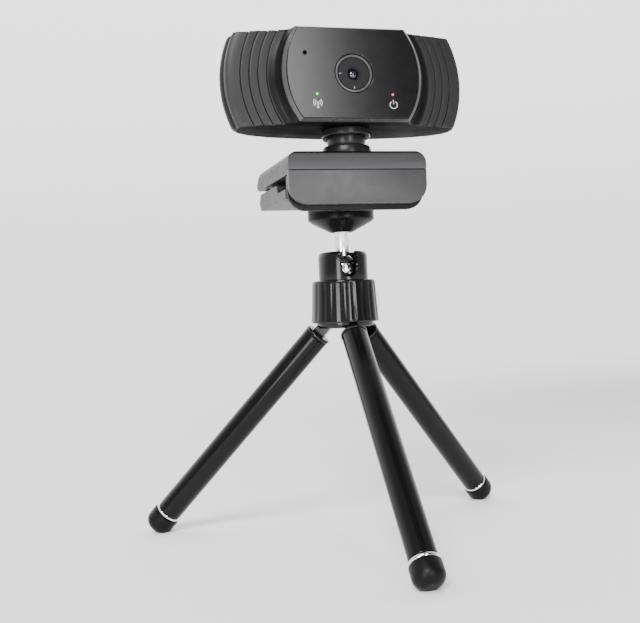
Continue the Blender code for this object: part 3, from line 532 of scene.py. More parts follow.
def build_shells():
    flat = SPLIT_Y - 0.2
    front_outline = wing_front() + [(49.8, flat), (FLAT_INNER_X, flat), (0.0, flat)]
    front = publish_shell("front_shell_fine", head_loft_mesh(front_outline, HALF_HEIGHT, 0.5, flat),
                          HEAD_BLACK, 28.0)
    hollow = [(0.0, POD_Y + WALL), (26.5, POD_Y + WALL), (30.5, -21.0), (42.5, -18.4), (46.4, -15.9),
              (46.4, -12.0), (0.0, -12.0)]
    bores = [(LENS_BORE_R, 0.0, HEAD_Z), (LIGHT_BORE_R, LIGHT_X, LIGHT_Z),
             (LIGHT_BORE_R, -LIGHT_X, LIGHT_Z), (MIC_BORE_R, MIC_X, MIC_Z)]
    tools = [(head_loft_mesh(hollow, HALF_HEIGHT - WALL), HEAD)]
    tools += [(rod_mesh(r, 20.0, 30.0, 32), facing(x, z)) for r, x, z in bores]
    tools.append((rod_mesh(NECK_HOLE_R, 160.0, 174.0), NECK_PLACE))
    carve(front, tools, smooth=28.0)

    flat = SPLIT_Y + 0.1
    rear_outline = [(0.0, flat), (FLAT_INNER_X, flat), (50.0, flat)]
    rear_outline += soften([(50.0, flat + 0.01), (50.7, -14.4), (WING_HALF_WIDTH, -12.8), (50.6, -10.4),
                            (48.6, -7.0), (44.0, -3.4), (36.0, -0.2), (24.0, 2.0), (12.0, 2.9),
                            (0.0, 3.0)], 4.0, closed=False, count=5)[1:]
    rear = publish_shell("rear_shell_fine", head_loft_mesh(rear_outline, HALF_HEIGHT, 1.2, flat),
                         REAR_BLACK, 35.0)
    hollow = [(0.0, -20.0), (47.0, -20.0), (48.4, -13.0), (46.4, -7.6), (35.0, -2.4), (23.4, -0.1),
              (0.0, 0.9)]
    tools = [(head_loft_mesh(hollow, HALF_HEIGHT - WALL), HEAD),
             (rod_mesh(NECK_HOLE_R, 160.0, 174.0), NECK_PLACE)]
    for side in (-1, 1):
        screw = facing(side * BOSS_X, HEAD_Z)
        tools += [(rod_mesh(1.3, -5.0, 7.0, 24), screw), (rod_mesh(2.6, -5.0, 0.9, 32), screw)]
    tools.append((rod_mesh(3.3, -6.0, 2.0, 32), facing(0.0, CABLE_Z)))
    for row in range(5):
        slit = HEAD @ at(0.0, 0.0, HEAD_Z + 4.0 + 2.2 * row)
        tools.append((box_mesh((-9.0, 2.2, -0.45), (9.0, 6.0, 0.45)), slit))
    carve(rear, tools)


def arc_sided(half_width, half_height, count=28):
    """An outline with flat top and bottom and arcs of the face's radius left and right."""
    points = []
    for i in range(count + 1):
        height = half_height * (2.0 * i / count - 1.0)
        points.append((half_width - FACE_ARC_R + math.sqrt(FACE_ARC_R ** 2 - height ** 2), height))
    return points + [(-x, -z) for x, z in points]


def circle(radius, steps=64):
    return arc((0.0, 0.0), radius, 0.0, -360.0, steps)[:-1]


def build_face():
    back = POD_Y - 0.3
    holes = [circle(7.9)]
    holes += [[(x + side, z - HEAD_Z + up) for side, up in circle(r, 20)]
              for r, x, z in ((0.75, MIC_X, MIC_Z), (0.5, LIGHT_X, LIGHT_Z), (0.5, -LIGHT_X, LIGHT_Z))]
    face = publish("face_plate_fine", prism_mesh(arc_sided(FACE_HALF_WIDTH, FACE_HALF_HEIGHT),
                                                 FACE_Y, back, holes),
                   FACE_PLACE, FACE_BLACK, "head")
    round_edges(face, 0.2)
    outer = arc_sided(FACE_HALF_WIDTH + 1.6, HALF_HEIGHT - 0.1)
    inner = arc_sided(FACE_HALF_WIDTH + 0.15, FACE_HALF_HEIGHT + 0.15)
    bezel = publish("bezel_fine", bezel_mesh(outer, inner, back), FACE_PLACE, BEZEL_BLACK, "head")
    round_edges(bezel, 0.12, 2)


def bezel_mesh(outer, inner, back):
    """The rim around the face plate: a slope from the plate's edge out to the pod's side."""
    work = bmesh.new()
    rings = []
    for loop, y in ((inner, back), (inner, FACE_Y + 0.35), (outer, FACE_Y + 1.7), (outer, back)):
        rings.append([work.verts.new((u, y, v)) for u, v in loop])
    for first, second in zip(rings, rings[1:] + rings[:1]):
        for i in range(len(first)):
            j = (i + 1) % len(first)
            work.faces.new((first[i], first[j], second[j], second[i]))
    return work


def build_lens():
    """Focus ring, stepped lens disc with its two marks, and the domed front element."""
    lens = facing(0.0, HEAD_Z)
    ring = [(6.95, 29.9), (7.55, 29.75), (7.6, 29.6), (7.6, 27.8), (6.6, 27.8), (6.6, 29.5)]
    lathe("focus_ring_fine", ring, lens, BEZEL_BLACK, "focus", edge=0.12)
    steps = [(6.3, 29.2), (6.3, 27.8), (2.1, 27.8), (2.1, 28.3), (2.6, 28.75), (2.7, 29.05), (3.3, 29.05),
             (3.4, 29.2)]
    publish("lens_disc_fine", lathe_mesh(steps), lens, DISC_BLACK, "focus")
    for name, degrees in (("lens_mark_left", -90.0), ("lens_mark_bottom", 180.0)):
        turn = Matrix.Rotation(math.radians(degrees), 4, 'Y')
        mark = box_mesh((-0.12, -29.3, 5.2), (0.12, -29.18, 6.0))
        publish(name, mark, FACE_PLACE @ turn, PRINT, "focus")
    dome = [(0.0, 28.9)] + [(2.0 * math.sin(a), 27.4 + 1.5 * math.cos(a))
                            for a in [math.radians(15.0 * k) for k in range(1, 7)]] + [(0.0, 27.3)]
    publish("lens_glass_fine", lathe_mesh(dome, 64), lens, LENS_GLASS, "head")
    lathe("lens_barrel_fine", [(5.0, 27.0), (5.0, 17.6), (2.4, 17.6), (2.4, 27.0)], lens, NECK_BLACK,
          "head")


def strip_mesh(points, width, low, high):
    """A printed line of constant width along a polyline in X and Z."""
    sections = []
    for i, point in enumerate(points):
        before = Vector(points[max(i - 1, 0)])
        after = Vector(points[min(i + 1, len(points) - 1)])
        along = (after - before).normalized()
        side = Vector((-along.y, along.x)) * width / 2.0
        left = Vector(point) + side
        right = Vector(point) - side
        sections.append([(p.x, y, p.y) for p, y in
                         ((left, low), (right, low), (right, high), (left, high))])
    return stack_mesh(sections)


def build_icons():
    """A generic transmit sign on the left and a generic power sign on the right."""
    low = FACE_Y - 0.03
    high = FACE_Y + 0.05
    left = HEAD @ at(-LIGHT_X, 0.0, HEAD_Z - 12.4)
    right = HEAD @ at(LIGHT_X, 0.0, HEAD_Z - 12.6)
    lines = [("wave_right_inner", arc((0.0, 0.4), 1.0, -50.0, 50.0, 10), left),
             ("wave_right_outer", arc((0.0, 0.4), 1.75, -50.0, 50.0, 14), left),
             ("wave_left_inner", arc((0.0, 0.4), 1.0, 130.0, 230.0, 10), left),
             ("wave_left_outer", arc((0.0, 0.4), 1.75, 130.0, 230.0, 14), left),
             ("power_ring", arc((0.0, 0.0), 1.5, 125.0, 415.0, 32), right),
             ("power_bar", [(0.0, 2.0), (0.0, 0.2)], right)]
    for name, points, place in lines:
        line = strip_mesh(points, ICON_STROKE, low, high)
        publish("icon_" + name, line, place, PRINT, "head")
    mast = prism_mesh([(-0.12, 0.2), (-0.5, -1.9), (0.5, -1.9), (0.12, 0.2)], low, high)
    publish("icon_mast", mast, left, PRINT, "head")
    dot = lathe_mesh([(0.0, 30.03), (0.38, 30.03), (0.38, 29.95), (0.0, 29.95)], 24)
    publish("icon_mast_head", dot, facing(-LIGHT_X, HEAD_Z - 12.0), PRINT, "head")


def build_lights():
    for x, name, glow in ((-LIGHT_X, "left", GLOW_GREEN), (LIGHT_X, "right", GLOW_RED)):
        guide = [(0.0, 29.9), (0.4, 29.8), (0.42, 27.0), (0.6, 26.8), (0.6, 11.6), (0.0, 11.6)]
        publish(f"light_guide_{name}_fine", lathe_mesh(guide, 24),
                facing(x, LIGHT_Z), glow, "head")


def cross_recess(radius, depth, top):
    """Two crossed bars that cut a Phillips recess into a screw head whose face is at a height."""
    bars = []
    for x, y in ((0.13 * radius, 0.575 * radius), (0.575 * radius, 0.13 * radius)):
        bars.append(box_mesh((-x, -y, top - depth), (x, y, top + 1.0)))
    return bars


def build_screw(name, profile, place, body, head_r, top):
    screw = lathe(name, profile, place, STEEL, body, steps=48, edge=0.15)
    turned = place @ Matrix.Rotation(math.radians(20.0), 4, 'Z')
    carve(screw, [(bar, turned) for bar in cross_recess(head_r, 0.7, top)])


def build_head_fittings():
    for side, name in ((-1, "left"), (1, "right")):
        place = HEAD @ at(side * BOSS_X, 0.0, HEAD_Z) @ Matrix.Rotation(math.radians(-90.0), 4, 'X')
        profile = [(0.0, 0.8), (1.4, 0.7), (2.2, 0.2), (2.2, -0.6), (1.0, -0.6), (1.0, -14.0), (0.0, -14.0)]
        build_screw(f"case_screw_{name}_fine", profile, place, "head", 2.2, 0.8)
    gland = [(2.0, 3.0), (4.4, 3.0), (4.4, 1.6), (3.0, 1.6)]
    for k in range(4):
        y = 0.2 - 1.5 * k
        gland += [(3.0, y), (2.5, y - 0.15), (2.5, y - 0.55), (3.0 - 0.05 * k, y - 0.7)]
    gland += [(2.8, -7.0), (2.0, -7.0)]
    lathe("cable_gland_fine", gland, facing(0.0, CABLE_Z), RUBBER, "head", edge=0.15)


def build_neck():
    place = ASSEMBLY @ at(0.0, NECK_Y, 0.0)
    socket = arc((0.0, BALL_Z), BALL_R + 0.3, -48.0, -19.0, 8)
    bell = [(9.3, 162.3), (9.7, 161.8), (10.15, 160.2), (10.25, 159.4), (10.25, 158.8)] + socket
    lathe("turntable_fine", bell, place, NECK_BLACK, "neck", edge=0.3)
    start = math.degrees(math.asin(-math.sqrt(1.0 - (5.0 / BALL_R) ** 2)))
    ball = [(0.0, BALL_Z + BALL_R)] + arc((0.0, BALL_Z), BALL_R, 90.0, start, 32)[1:]
    ball += [(5.0, 154.0), (1.7, 154.0), (1.7, 159.5), (0.0, 159.5)]
    publish("neck_ball_fine", lathe_mesh(ball), place, NECK_BLACK, "neck")
    collar = [(7.6, 168.7), (10.0, 168.7), (10.0, 166.2), (9.5, 165.5), (8.3, 165.5), (8.2, 166.2)]
    lathe("neck_collar_fine", collar, NECK_PLACE, NECK_BLACK, "head", edge=0.35)


# -------- monitor clip

SIDE_ON = Matrix.Rotation(math.radians(90.0), 4, 'Z')      # a prism's outline (x, z) becomes (y, z)
HALF_CLIP = 28.5
CLIP_FRONT_Y = -29.0
FASCIA_BACK_Y = -25.4
FASCIA_SEAM_Z = 151.2
FASCIA_BOTTOM_Z = 137.5
UPPER_BOTTOM_Z = 149.6
UPPER_TOP_Z = 158.5
REAR_Y = 35.0
HINGE_Y = 28.0
HINGE_Z = 148.6
HINGE_R = 2.2
PIN_HOLE_R = 1.4
LOWER_BOTTOM_Z = 140.5
LOWER_TOP_Z = 147.7
THIN_TOP_Z = 144.3
COVE_Y = -9.0
COVE_Z = 147.4
COVE_R = 3.1
LIP_FRONT_Y = -24.8
LIP_BACK_Y = -21.8
LIP_SCREW_X = 21.5
LIP_SCREW_Y = -17.0
LIP_SCREW_HOLE_R = 1.3
HINGE_LINE = ASSEMBLY @ at(0.0, HINGE_Y, HINGE_Z) @ ALONG_X


def lip_screw_place(side):
    return ASSEMBLY @ at(side * LIP_SCREW_X, LIP_SCREW_Y, 0.0)


def layered_mesh(outline, sections):
    """Stack a closed outline in X and Z along Y; each section is (y, how far the outline is inset)."""
    normals = outline_normals(outline)
    return stack_mesh([[(u - n.x * inset, y, v - n.y * inset) for (u, v), n in zip(outline, normals)]
                       for y, inset in sections])


def soft_sections(low, high, edge, steps=3):
    """Sections of a plate whose front and back edges are rounded."""
    turn = [math.radians(90.0 * k / steps) for k in range(steps + 1)]
    front = [(low + edge * (1.0 - math.cos(a)), edge * (1.0 - math.sin(a))) for a in turn]
    return front + [(high - (y - low), inset) for y, inset in reversed(front)]


def upper_arm_mesh():
    """Cross-sections along Y: soft front top edge, rounded shoulders and a round rear."""
    front_round = 2.0
    rear_r = 8.0
    rear_y = REAR_Y - rear_r
    stations = []
    for k in range(7):
        angle = math.radians(15.0 * k)
        y = CLIP_FRONT_Y + front_round * (1.0 - math.cos(angle))
        top = UPPER_TOP_Z - front_round * (1.0 - math.sin(angle))
        stations.append((y, UPPER_BOTTOM_Z, top, 4.0 - 1.2 * (1.0 - math.sin(angle))))
    stations += [(-24.0 + 8.0 * k, UPPER_BOTTOM_Z, UPPER_TOP_Z, 4.0) for k in range(7)]
    for k in range(1, 15):
        angle = math.radians(80.0 * k / 14.0)
        y = rear_y + rear_r * math.sin(angle)
        top = UPPER_TOP_Z - rear_r * (1.0 - math.cos(angle))
        share = max(0.0, min(1.0, (y - 31.4) / 3.48))
        bottom = UPPER_BOTTOM_Z + 2.0 * share ** 1.7
        stations.append((y, bottom, top, min(4.0 * (1.0 - 0.85 * k / 14.0), (top - bottom) * 0.5)))
    rows = []
    for y, bottom, top, radius in stations:
        right = arc((HALF_CLIP - radius, top - radius), radius, 0.0, 90.0, 8)
        section = [(HALF_CLIP, bottom)] + right + [(-x, z) for x, z in reversed(right)]
        section.append((-HALF_CLIP, bottom))
        rows.append([(x, y, z) for x, z in section])
    work = stack_mesh(rows)
    # Faces near the top take the second slot, a darker copy of the plastic: painted shade on the top.
    for face in work.faces:
        face.material_index = int(face.calc_center_median().z > UPPER_TOP_Z - 1.0)
    return work


def build_upper_arm():
    arm = publish("upper_arm_fine", upper_arm_mesh(), ASSEMBLY, CLIP_BLACK, "upper_clip")
    arm.data.materials.append(CLIP_TOP_SHADE_BLACK)
    ceiling = UPPER_TOP_Z - 2.2
    cuts = [box_mesh((-26.3, FASCIA_BACK_Y - 0.01, 145.0), (26.3, 30.7, ceiling)),
            box_mesh((-30.0, -31.0, 140.0), (30.0, FASCIA_BACK_Y, FASCIA_SEAM_Z))]
    carve(arm, [(cut, ASSEMBLY) for cut in cuts])
    joins = []
    for low, high in ((-22.0, -17.9), (17.9, 22.0)):
        joins.append((box_mesh((low, HINGE_Y - HINGE_R, HINGE_Z), (high, HINGE_Y + HINGE_R, ceiling + 1.0)),
                      ASSEMBLY))
        joins.append((rod_mesh(HINGE_R, low, high), HINGE_LINE))
    carve(arm, joins, 'UNION')
    carve(arm, [(rod_mesh(PIN_HOLE_R, -25.0, 25.0, 24), HINGE_LINE),
                (rod_mesh(5.4, 150.0, 165.0), ASSEMBLY @ at(0.0, NECK_Y, 0.0))])
    level_shading(arm)


def build_fascia():
    radius = 7.5
    top = FASCIA_SEAM_Z - 0.12
    outline = [(-HALF_CLIP, top)]
    outline += arc((-HALF_CLIP + radius, FASCIA_BOTTOM_Z + radius), radius, 180.0, 270.0, 16)
    outline += arc((HALF_CLIP - radius, FASCIA_BOTTOM_Z + radius), radius, 270.0, 360.0, 16)
    outline += [(HALF_CLIP, top)]
    panel = layered_mesh(soften(outline, 0.15, count=2),
                         soft_sections(CLIP_FRONT_Y, FASCIA_BACK_Y - 0.15, 0.3))
    publish("fascia_panel_fine", panel, ASSEMBLY, FASCIA_BLACK, "upper_clip")
    lid = publish("upper_arm_cover_fine", box_mesh((-26.0, -18.0, 149.9), (26.0, 24.0, 151.1)), ASSEMBLY,
                  CLIP_BLACK, "upper_clip")
    round_edges(lid, 0.3)


def build_lower_arm():
    cove = arc((COVE_Y, COVE_Z), COVE_R, 0.0, -90.0, 12)
    outline = [(LIP_BACK_Y + 0.3, LOWER_BOTTOM_Z), (27.6, LOWER_BOTTOM_Z), (31.0, 143.9), (27.2, LOWER_TOP_Z),
               (COVE_Y + COVE_R + 0.3, LOWER_TOP_Z)] + cove + [(LIP_BACK_Y + 0.3, THIN_TOP_Z)]
    arm = publish("lower_arm_fine", prism_mesh(outline, -HALF_CLIP, HALF_CLIP), ASSEMBLY @ SIDE_ON,
                  CLIP_BLACK, "lower_clip")
    round_edges(arm, 0.35)
    apply_modifiers(arm)
    joins = []
    for side in (-1, 1):
        inner, outer = sorted((side * 11.0, side * 16.6))
        joins.append((rod_mesh(HINGE_R, inner, outer), HINGE_LINE))
        joins.append((box_mesh((inner, HINGE_Y - HINGE_R, 145.0), (outer, HINGE_Y + HINGE_R, HINGE_Z)),
                      ASSEMBLY))
    carve(arm, joins, 'UNION')
    cuts = [(rod_mesh(PIN_HOLE_R, -26.0, 26.0, 24), HINGE_LINE),
            (rod_mesh(5.3, 139.0, 146.2), ASSEMBLY),
            (box_mesh((-24.8, -3.3, 146.7), (24.8, 21.3, 150.0)), ASSEMBLY)]
    slot = soften([(-9.5, -12.5), (-9.5, -18.5), (9.5, -18.5), (9.5, -12.5)], 1.0)
    lying = Matrix.Rotation(math.radians(90.0), 4, 'X')
    cuts.append((prism_mesh([(x, -y) for x, y in slot], 139.0, 146.0), ASSEMBLY @ lying))
    groove = [(-24.0, THIN_TOP_Z - 0.22), (COVE_Y, THIN_TOP_Z - 0.22)]
    groove += arc((COVE_Y, COVE_Z), COVE_R + 0.22, -90.0, 0.0, 12)
    groove += [(COVE_Y + COVE_R, 149.0), (-24.0, 149.0)]
    for side in (-1, 1):
        inner, outer = sorted((side * 16.9, side * 24.0))
        cuts.append((box_mesh((inner, HINGE_Y - HINGE_R - 0.5, 145.8), (outer, 40.0, 155.0)), ASSEMBLY))
        screw = lip_screw_place(side)
        cuts.append((rod_mesh(LIP_SCREW_HOLE_R, 138.0, 150.0, 24), screw))
        cuts.append((rod_mesh(2.8, 142.9, 150.0), screw))
        cuts.append((box_mesh((-4.3, -8.0, 139.0), (4.3, 4.3, 142.3)), screw))
        middle = side * 27.1
        cuts.append((prism_mesh(groove, middle - 0.08, middle + 0.08), ASSEMBLY @ SIDE_ON))
    carve(arm, cuts)
    level_shading(arm)


def build_foot_lip():
    half = 28.2
    top_half = 25.0
    shoulder = 149.3
    radius = 7.0
    bottom = 135.4
    outline = [(half, shoulder), (top_half, shoulder), (top_half, 153.0), (-top_half, 153.0),
               (-top_half, shoulder), (-half, shoulder)]
    outline += arc((-half + radius, bottom + radius), radius, 180.0, 270.0, 14)
    outline += arc((half - radius, bottom + radius), radius, 270.0, 360.0, 14)
    outline = soften(outline, 0.4, count=3)
    front, back = LIP_FRONT_Y, LIP_BACK_Y
    sections = [(front, 0.3), (front + 0.08, 0.12), (front + 0.3, 0.0), (front + 0.9, 0.0),
                (front + 0.93, 0.28), (front + 1.05, 0.28), (front + 1.08, 0.0), (back - 0.4, 0.0),
                (back - 0.1, 0.14), (back, 0.4)]
    # The lip is painted near black: painted shade behind the fascia.
    lip = publish("foot_lip_fine", layered_mesh(outline, sections), ASSEMBLY, LIP_SHADE_BLACK, "lower_clip")
    tabs = []
    holes = []
    for side in (-1, 1):
        low, high = sorted((side * 17.5, side * top_half))
        tabs.append((box_mesh((low, back - 0.8, 140.8), (high, -13.0, 142.0)), ASSEMBLY))
        holes.append((rod_mesh(LIP_SCREW_HOLE_R, 138.0, 150.0, 24), lip_screw_place(side)))
    carve(lip, tabs, 'UNION')
    carve(lip, holes)
    level_shading(lip)


def build_clip_fittings():
    pad = publish("clamp_pad_fine", box_mesh((-24.5, -3.0, 147.0), (24.5, 21.0, 148.3)), ASSEMBLY, RUBBER,
                  "lower_clip")
    round_edges(pad, 0.4)
    bracket = publish("slot_bracket_fine", box_mesh((-9.2, -18.2, 141.0), (9.2, -12.8, 142.2)), ASSEMBLY,
                      STEEL, "lower_clip")
    round_edges(bracket, 0.2)
    carve(bracket, [(rod_mesh(1.2, 140.0, 143.0, 24), ASSEMBLY @ at(4.5, -15.5, 0.0)),
                    (box_mesh((-9.4, -15.8, 141.8), (1.0, -15.2, 143.0)), ASSEMBLY)])
    nut = [(STUD_HOLE_R, 145.9), (5.0, 145.9), (5.0, 140.8), (STUD_HOLE_R, 140.8)]
    for k in range(6):
        z = 141.2 + 0.75 * k
        nut += [(STUD_HOLE_R, z), (3.75, z + 0.3), (STUD_HOLE_R, z + 0.6)]
    publish("tripod_nut_fine", lathe_mesh(nut, 64), ASSEMBLY, BRASS, "lower_clip")
    for side, name in ((-1, "left"), (1, "right")):
        screw = [(0.0, THIN_TOP_Z), (1.5, THIN_TOP_Z - 0.05), (2.3, THIN_TOP_Z - 0.45), (2.4, 143.2),
                 (1.0, 143.2), (1.0, 141.0), (0.0, 141.0)]
        build_screw(f"lip_screw_{name}_fine", screw, lip_screw_place(side), "lower_clip", 2.4, THIN_TOP_Z)


# -------- tripod

BALL_HEAD_Z = 112.7
BALL_HEAD_R = 6.3
SHAFT_R = 3.0
STUD_HOLE_R = 3.475
CUP_SLOT_HALF = 3.6
LEG_AXIS_LENGTH = 118.3
LEG_PIN_HOLE_R = 1.3
FLUTES = 20
FLUTE_DEPTH = 0.22


def threaded(radius, low, high, pitch, depth):
    """Profile of a screw thread, drawn as close rings from the top down."""
    turns = int((high - low) / pitch)
    points = []
    for k in range(turns):
        z = high - k * pitch
        points += [(radius - depth, z), (radius, z - 0.35 * pitch), (radius, z - 0.55 * pitch),
                   (radius - depth, z - 0.9 * pitch)]
    return points


def build_stud():
    neck_angle = math.degrees(math.acos(SHAFT_R / BALL_HEAD_R))
    profile = [(0.0, 146.0), (2.3, 146.0)]
    profile += threaded(radius=3.175, low=132.2, high=145.6, pitch=1.27, depth=0.45)
    profile += [(3.1, 132.0), (SHAFT_R, 131.8)]
    profile += arc((0.0, BALL_HEAD_Z), BALL_HEAD_R, neck_angle, -90.0, 40)[:-1]
    profile.append((0.0, BALL_HEAD_Z - BALL_HEAD_R))
    publish("ball_stud_fine", lathe_mesh(profile), ASSEMBLY, CHROME, "stud")
    disc = [(STUD_HOLE_R, 138.0), (13.4, 138.0), (14.0, 137.5), (14.0, 136.2), (13.85, 136.05),
            (13.85, 135.8), (14.0, 135.65), (14.0, 133.4), (12.2, 132.1), (5.2, 128.5), (4.8, 128.2),
            (STUD_HOLE_R, 128.2)]
    lathe("mount_disc_fine", disc, ASSEMBLY, DISC_MOUNT_BLACK, "stud", edge=0.35)
    pad = [(STUD_HOLE_R, 140.2), (12.6, 140.2), (13.0, 139.9), (13.0, 138.3), (STUD_HOLE_R, 138.3)]
    lathe("mount_pad_fine", pad, ASSEMBLY, RUBBER, "stud", edge=0.3)


def build_cup():
    profile = [(5.95, 119.9), (6.3, 120.0), (8.9, 120.0), (9.8, 119.6), (10.2, 118.8), (10.4, 117.6),
               (10.4, 107.0), (10.3, 106.4), (6.7, 106.4), (6.7, 116.5), (5.95, 118.1)]
    cup = lathe("ball_cup_fine", profile, ASSEMBLY, TRIPOD_BLACK, "tripod_core", edge=0.3)
    round_end = arc((0.0, BALL_HEAD_Z), CUP_SLOT_HALF, 180.0, 360.0, 24)
    slot = [(-CUP_SLOT_HALF, 125.0)] + round_end + [(CUP_SLOT_HALF, 125.0)]
    carve(cup, [(prism_mesh(slot, -20.0, 0.0), ASSEMBLY)])
    round_edges(cup, 0.3, 2, 50.0)


def build_ring():
    profile = [(10.75, 107.9), (11.0, 108.0), (12.6, 108.0), (13.1, 107.8), (13.25, 107.4), (13.35, 106.4),
               (14.15, 92.0), (14.3, 90.8), (14.1, 90.4), (13.8, 90.3), (12.4, 90.3), (12.3, 90.5),
               (12.3, 106.0), (10.7, 106.8)]
    work = lathe_mesh(soften(profile, 0.3), 240)
    for vert in work.verts:
        radius = math.hypot(vert.co.x, vert.co.y)
        if radius > 13.0 and 91.2 < vert.co.z < 107.2:
            angle = math.atan2(vert.co.y, vert.co.x)
            dip = FLUTE_DEPTH * max(0.0, math.cos(FLUTES * angle)) ** 0.5
            vert.co.x *= 1.0 - dip / radius
            vert.co.y *= 1.0 - dip / radius
    publish("lock_ring_fine", work, ASSEMBLY, TRIPOD_BLACK, "lock_ring")


def build_hub():
    profile = [(0.0, 106.1), (8.8, 106.1), (9.0, 105.9), (9.0, 97.0), (11.7, 97.0), (12.0, 96.7),
               (12.0, 89.0), (11.0, 88.0), (0.0, 88.0)]
    hub = lathe("hub_fine", profile, ASSEMBLY, TRIPOD_BLACK, "tripod_core", edge=0.4)
    cuts = []
    for number in LEGS:
        outward = leg_turn(number)
        pin = Matrix.Translation(joint_place(f"leg_fold_{number}")) @ outward @ Matrix.Scale(MM, 4)
        cuts.append((box_mesh((3.9, -1.8, 80.0), (20.0, 1.8, 94.4)), ASSEMBLY @ outward))
        cuts.append((rod_mesh(LEG_PIN_HOLE_R, -5.4, 5.4, 24), pin @ ALONG_Y))
    carve(hub, cuts)


def build_leg(number):
    leg = leg_matrix(number)
    body = f"leg_{number}"
    foot_middle = -LEG_AXIS_LENGTH
    foot_top = foot_middle + 4.5
    knuckle = [(0.0, -6.5), (5.1, -6.5), (5.6, -6.9), (5.6, -7.8), (5.4, -8.0), (4.3, -8.0), (4.3, -17.0),
               (0.0, -17.0)]
    piece = lathe(f"leg_knuckle_{number}_fine", knuckle, leg, TRIPOD_BLACK, body,
                  steps=64, edge=0.2)
    carve(piece, [(box_mesh((-2.6, -1.5, -7.2), (2.6, 1.5, 0.0)), leg),
                  (rod_mesh(3.0, -1.5, 1.5), leg @ ALONG_Y)], 'UNION')
    carve(piece, [(rod_mesh(LEG_PIN_HOLE_R, -3.0, 3.0, 24), leg @ ALONG_Y)])
    tube = [(5.1, -8.3), (5.35, -8.4), (5.4, -8.7), (5.4, foot_top + 2.2), (5.3, foot_top + 1.9),
            (4.6, foot_top + 1.9), (4.6, -8.3)]
    lathe(f"leg_tube_{number}_fine", tube, leg, LEG_BLACK, body, edge=0.1)
    band = [(4.6, foot_top + 1.6), (5.5, foot_top + 1.6), (5.75, foot_top + 1.3), (5.75, foot_top + 0.8),
            (5.5, foot_top + 0.3), (4.6, foot_top + 0.3)]
    lathe(f"foot_ring_{number}_fine", band, leg, CHROME, body, edge=0.15)
    cap = [(0.0, foot_top + 9.0), (4.3, foot_top + 9.0), (4.3, foot_top), (5.5, foot_top),
           (6.0, foot_top - 0.2), (6.1, foot_top - 0.7)] + arc((1.7, foot_middle), 4.4, 0.0, -90.0, 14)
    cap.append((0.0, foot_middle - 4.4))
    foot = publish(f"foot_cap_{number}_fine", lathe_mesh(cap), leg, RUBBER, body)
    floor = (leg @ Vector((0.0, 0.0, foot_middle))) / MM
    below = box_mesh((floor.x - 20.0, floor.y - 20.0, -20.0), (floor.x + 20.0, floor.y + 20.0, 0.0))
    carve(foot, [(below, Matrix.Scale(MM, 4))])


# -------- what the shells hide

HIDDEN_LOOKS = {
    "leg_pin_1": STEEL, "leg_pin_2": STEEL, "leg_pin_3": STEEL, "hinge_pin": STEEL,
    "hinge_washer_left": STEEL, "hinge_washer_right": STEEL, "turntable_washer": STEEL,
    "turntable_screw": STEEL, "lens_holder": NECK_BLACK, "image_sensor": LENS_GLASS,
    "main_board": BOARD, "light_green": GLOW_GREEN, "light_red": GLOW_RED, "microphone": STEEL,
}


def dress_hidden_nodes():
    for name, material in HIDDEN_LOOKS.items():
        mesh = frame["nodes"][name].data
        mesh.materials.clear()
        mesh.materials.append(material)


build_shells()
build_face()
build_lens()
build_icons()
build_lights()
build_head_fittings()
build_neck()
build_upper_arm()
build_fascia()
build_lower_arm()
build_foot_lip()
build_clip_fittings()
build_stud()
build_cup()
build_ring()
build_hub()
for leg_number in LEGS:
    build_leg(leg_number)
dress_hidden_nodes()


# -------- room, light and camera

OBJECT_MIDDLE = Vector((0.0, 0.0, 0.15))
FLOOR_HALF = 3000.0
FLOOR_DROP = 0.01
WALL_FADE = (-0.1, 0.7)        # Y of the view direction over which the wall brightens
HORIZON_FADE = 0.3             # Z up to which it does
# Azimuth and power of the strips that fade across the face plate's reflection.
FACE_STRIPS = ((5.7, 0.42), (9.1, 0.4), (12.4, 0.32), (15.2, 0.08), (17.7, 0.01))


def set_world(front, back, horizon):
    """A white room: brighter behind the object, and dimmer at the horizon to meet the floor."""
    world = bpy.data.worlds.new("studio")
    world.use_nodes = True
    tree = world.node_tree
    tree.nodes["Background"].inputs["Color"].default_value = (1.0, 1.0, 1.0, 1.0)
    split = tree.nodes.new("ShaderNodeSeparateXYZ")
    link(tree, tree.nodes.new("ShaderNodeTexCoord"), "Generated", split, "Vector")
    blend = add_node(tree, "ShaderNodeMapRange", From_Min=WALL_FADE[0], From_Max=WALL_FADE[1],
                     To_Min=front, To_Max=back)
    rise = add_node(tree, "ShaderNodeMapRange", From_Max=HORIZON_FADE, To_Min=horizon)
    both = tree.nodes.new("ShaderNodeMath")
    both.operation = 'MULTIPLY'
    for socket, (axis, ramp) in enumerate((("Y", blend), ("Z", rise))):
        ramp.interpolation_type = 'SMOOTHSTEP'
        link(tree, split, axis, ramp, "Value")
        link(tree, ramp, "Result", both, socket)
    link(tree, both, "Value", tree.nodes["Background"], "Strength")
    bpy.context.scene.world = world


def build_floor():
    work = bmesh.new()
    bmesh.ops.create_grid(work, x_segments=1, y_segments=1, size=FLOOR_HALF)
    floor_look = make_surface("floor_paper", (0.95, 0.95, 0.95), 0.75, grain=2.0, bump=0.02, spread=0.01)
    place = Matrix.Scale(MM, 4) @ at(0.0, 0.0, -FLOOR_DROP)
    publish("floor", work, place, floor_look, None)


def direction(azimuth, elevation):
    """Unit vector from the object to a place: azimuth 0 is in front (-Y), positive towards +X."""
    a = math.radians(azimuth)
    e = math.radians(elevation)
    return Vector((math.sin(a) * math.cos(e), -math.cos(a) * math.cos(e), math.sin(e)))


def facing_object(azimuth, elevation, distance):
    """A place around the object whose +Z looks away from it, so that a lamp there shines on it."""
    aim = direction(azimuth, elevation)
    spot = Matrix.Translation(OBJECT_MIDDLE + aim * distance)
    return spot @ aim.to_track_quat('Z', 'Y').to_matrix().to_4x4()


def add_lamp(light, place):
    lamp = bpy.data.objects.new(light.name, light)
    bpy.context.scene.collection.objects.link(lamp)
    lamp.matrix_world = place


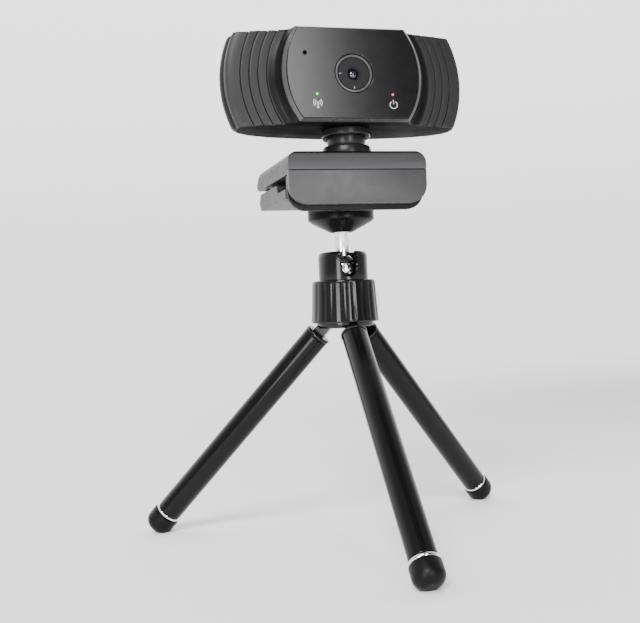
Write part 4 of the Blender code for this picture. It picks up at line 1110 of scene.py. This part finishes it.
def add_sun(name, azimuth, elevation, strength, spread):
    """An even light over the whole room, softened by its apparent size in degrees."""
    light = bpy.data.lights.new(name, 'SUN')
    light.energy = strength
    light.angle = math.radians(spread)
    add_lamp(light, facing_object(azimuth, elevation, 1.0))


def add_softbox(name, azimuth, elevation, distance, size, power):
    light = bpy.data.lights.new(name, 'AREA')
    light.shape = 'RECTANGLE'
    light.size, light.size_y = size
    light.energy = power
    add_lamp(light, facing_object(azimuth, elevation, distance))


def add_flag(name, azimuth, elevation, distance, size):
    """A dark board that the camera does not see: it darkens what glossy faces mirror."""
    board = make_surface(name, (0.01, 0.01, 0.01), 0.9, bump=0.0)
    work = bmesh.new()
    bmesh.ops.create_grid(work, x_segments=1, y_segments=1, size=0.5)
    place = facing_object(azimuth, elevation, distance) @ Matrix.Diagonal((*size, 1.0, 1.0))
    flag = publish(name, work, place, board, None)
    flag.visible_camera = False


def place_camera(azimuth, distance, height, pitch, roll, lens, shift):
    camera = bpy.data.cameras.new("camera")
    camera.lens = lens
    camera.sensor_width = 36.0
    camera.clip_start = 0.01
    camera.shift_x, camera.shift_y = shift
    holder = bpy.data.objects.new("camera", camera)
    bpy.context.scene.collection.objects.link(holder)
    a = math.radians(azimuth)
    place = Vector((math.sin(a) * distance, STUD.y - math.cos(a) * distance, height))
    turn = Matrix.Rotation(a, 4, 'Z') @ Matrix.Rotation(math.radians(90.0 - pitch), 4, 'X')
    holder.matrix_world = Matrix.Translation(place) @ turn @ Matrix.Rotation(math.radians(roll), 4, 'Z')
    bpy.context.scene.camera = holder


set_world(front=0.65, back=2.6, horizon=0.76)
build_floor()
add_sun("sun", azimuth=-30.0, elevation=42.0, strength=3.8, spread=24.0)
for strip, (side_angle, watts) in enumerate(FACE_STRIPS):
    add_softbox(f"face_strip_{strip}", side_angle, elevation=20.0, distance=0.9, size=(0.05, 0.28),
                power=watts)
add_softbox("fascia_panel_light", azimuth=8.0, elevation=1.0, distance=0.9, size=(0.24, 0.2), power=2.2)
add_softbox("tripod_strip_left", azimuth=-38.5, elevation=-3.0, distance=0.8, size=(0.22, 0.3), power=2.6)
add_flag("side_flag", azimuth=36.5, elevation=20.0, distance=0.75, size=(0.46, 0.5))
add_flag("top_flag", azimuth=5.0, elevation=66.0, distance=0.6, size=(0.5, 0.36))
place_camera(azimuth=-15.96, distance=0.4226, height=0.0995, pitch=0.62, roll=-2.52, lens=56.1,
             shift=(-0.039, -0.0006))
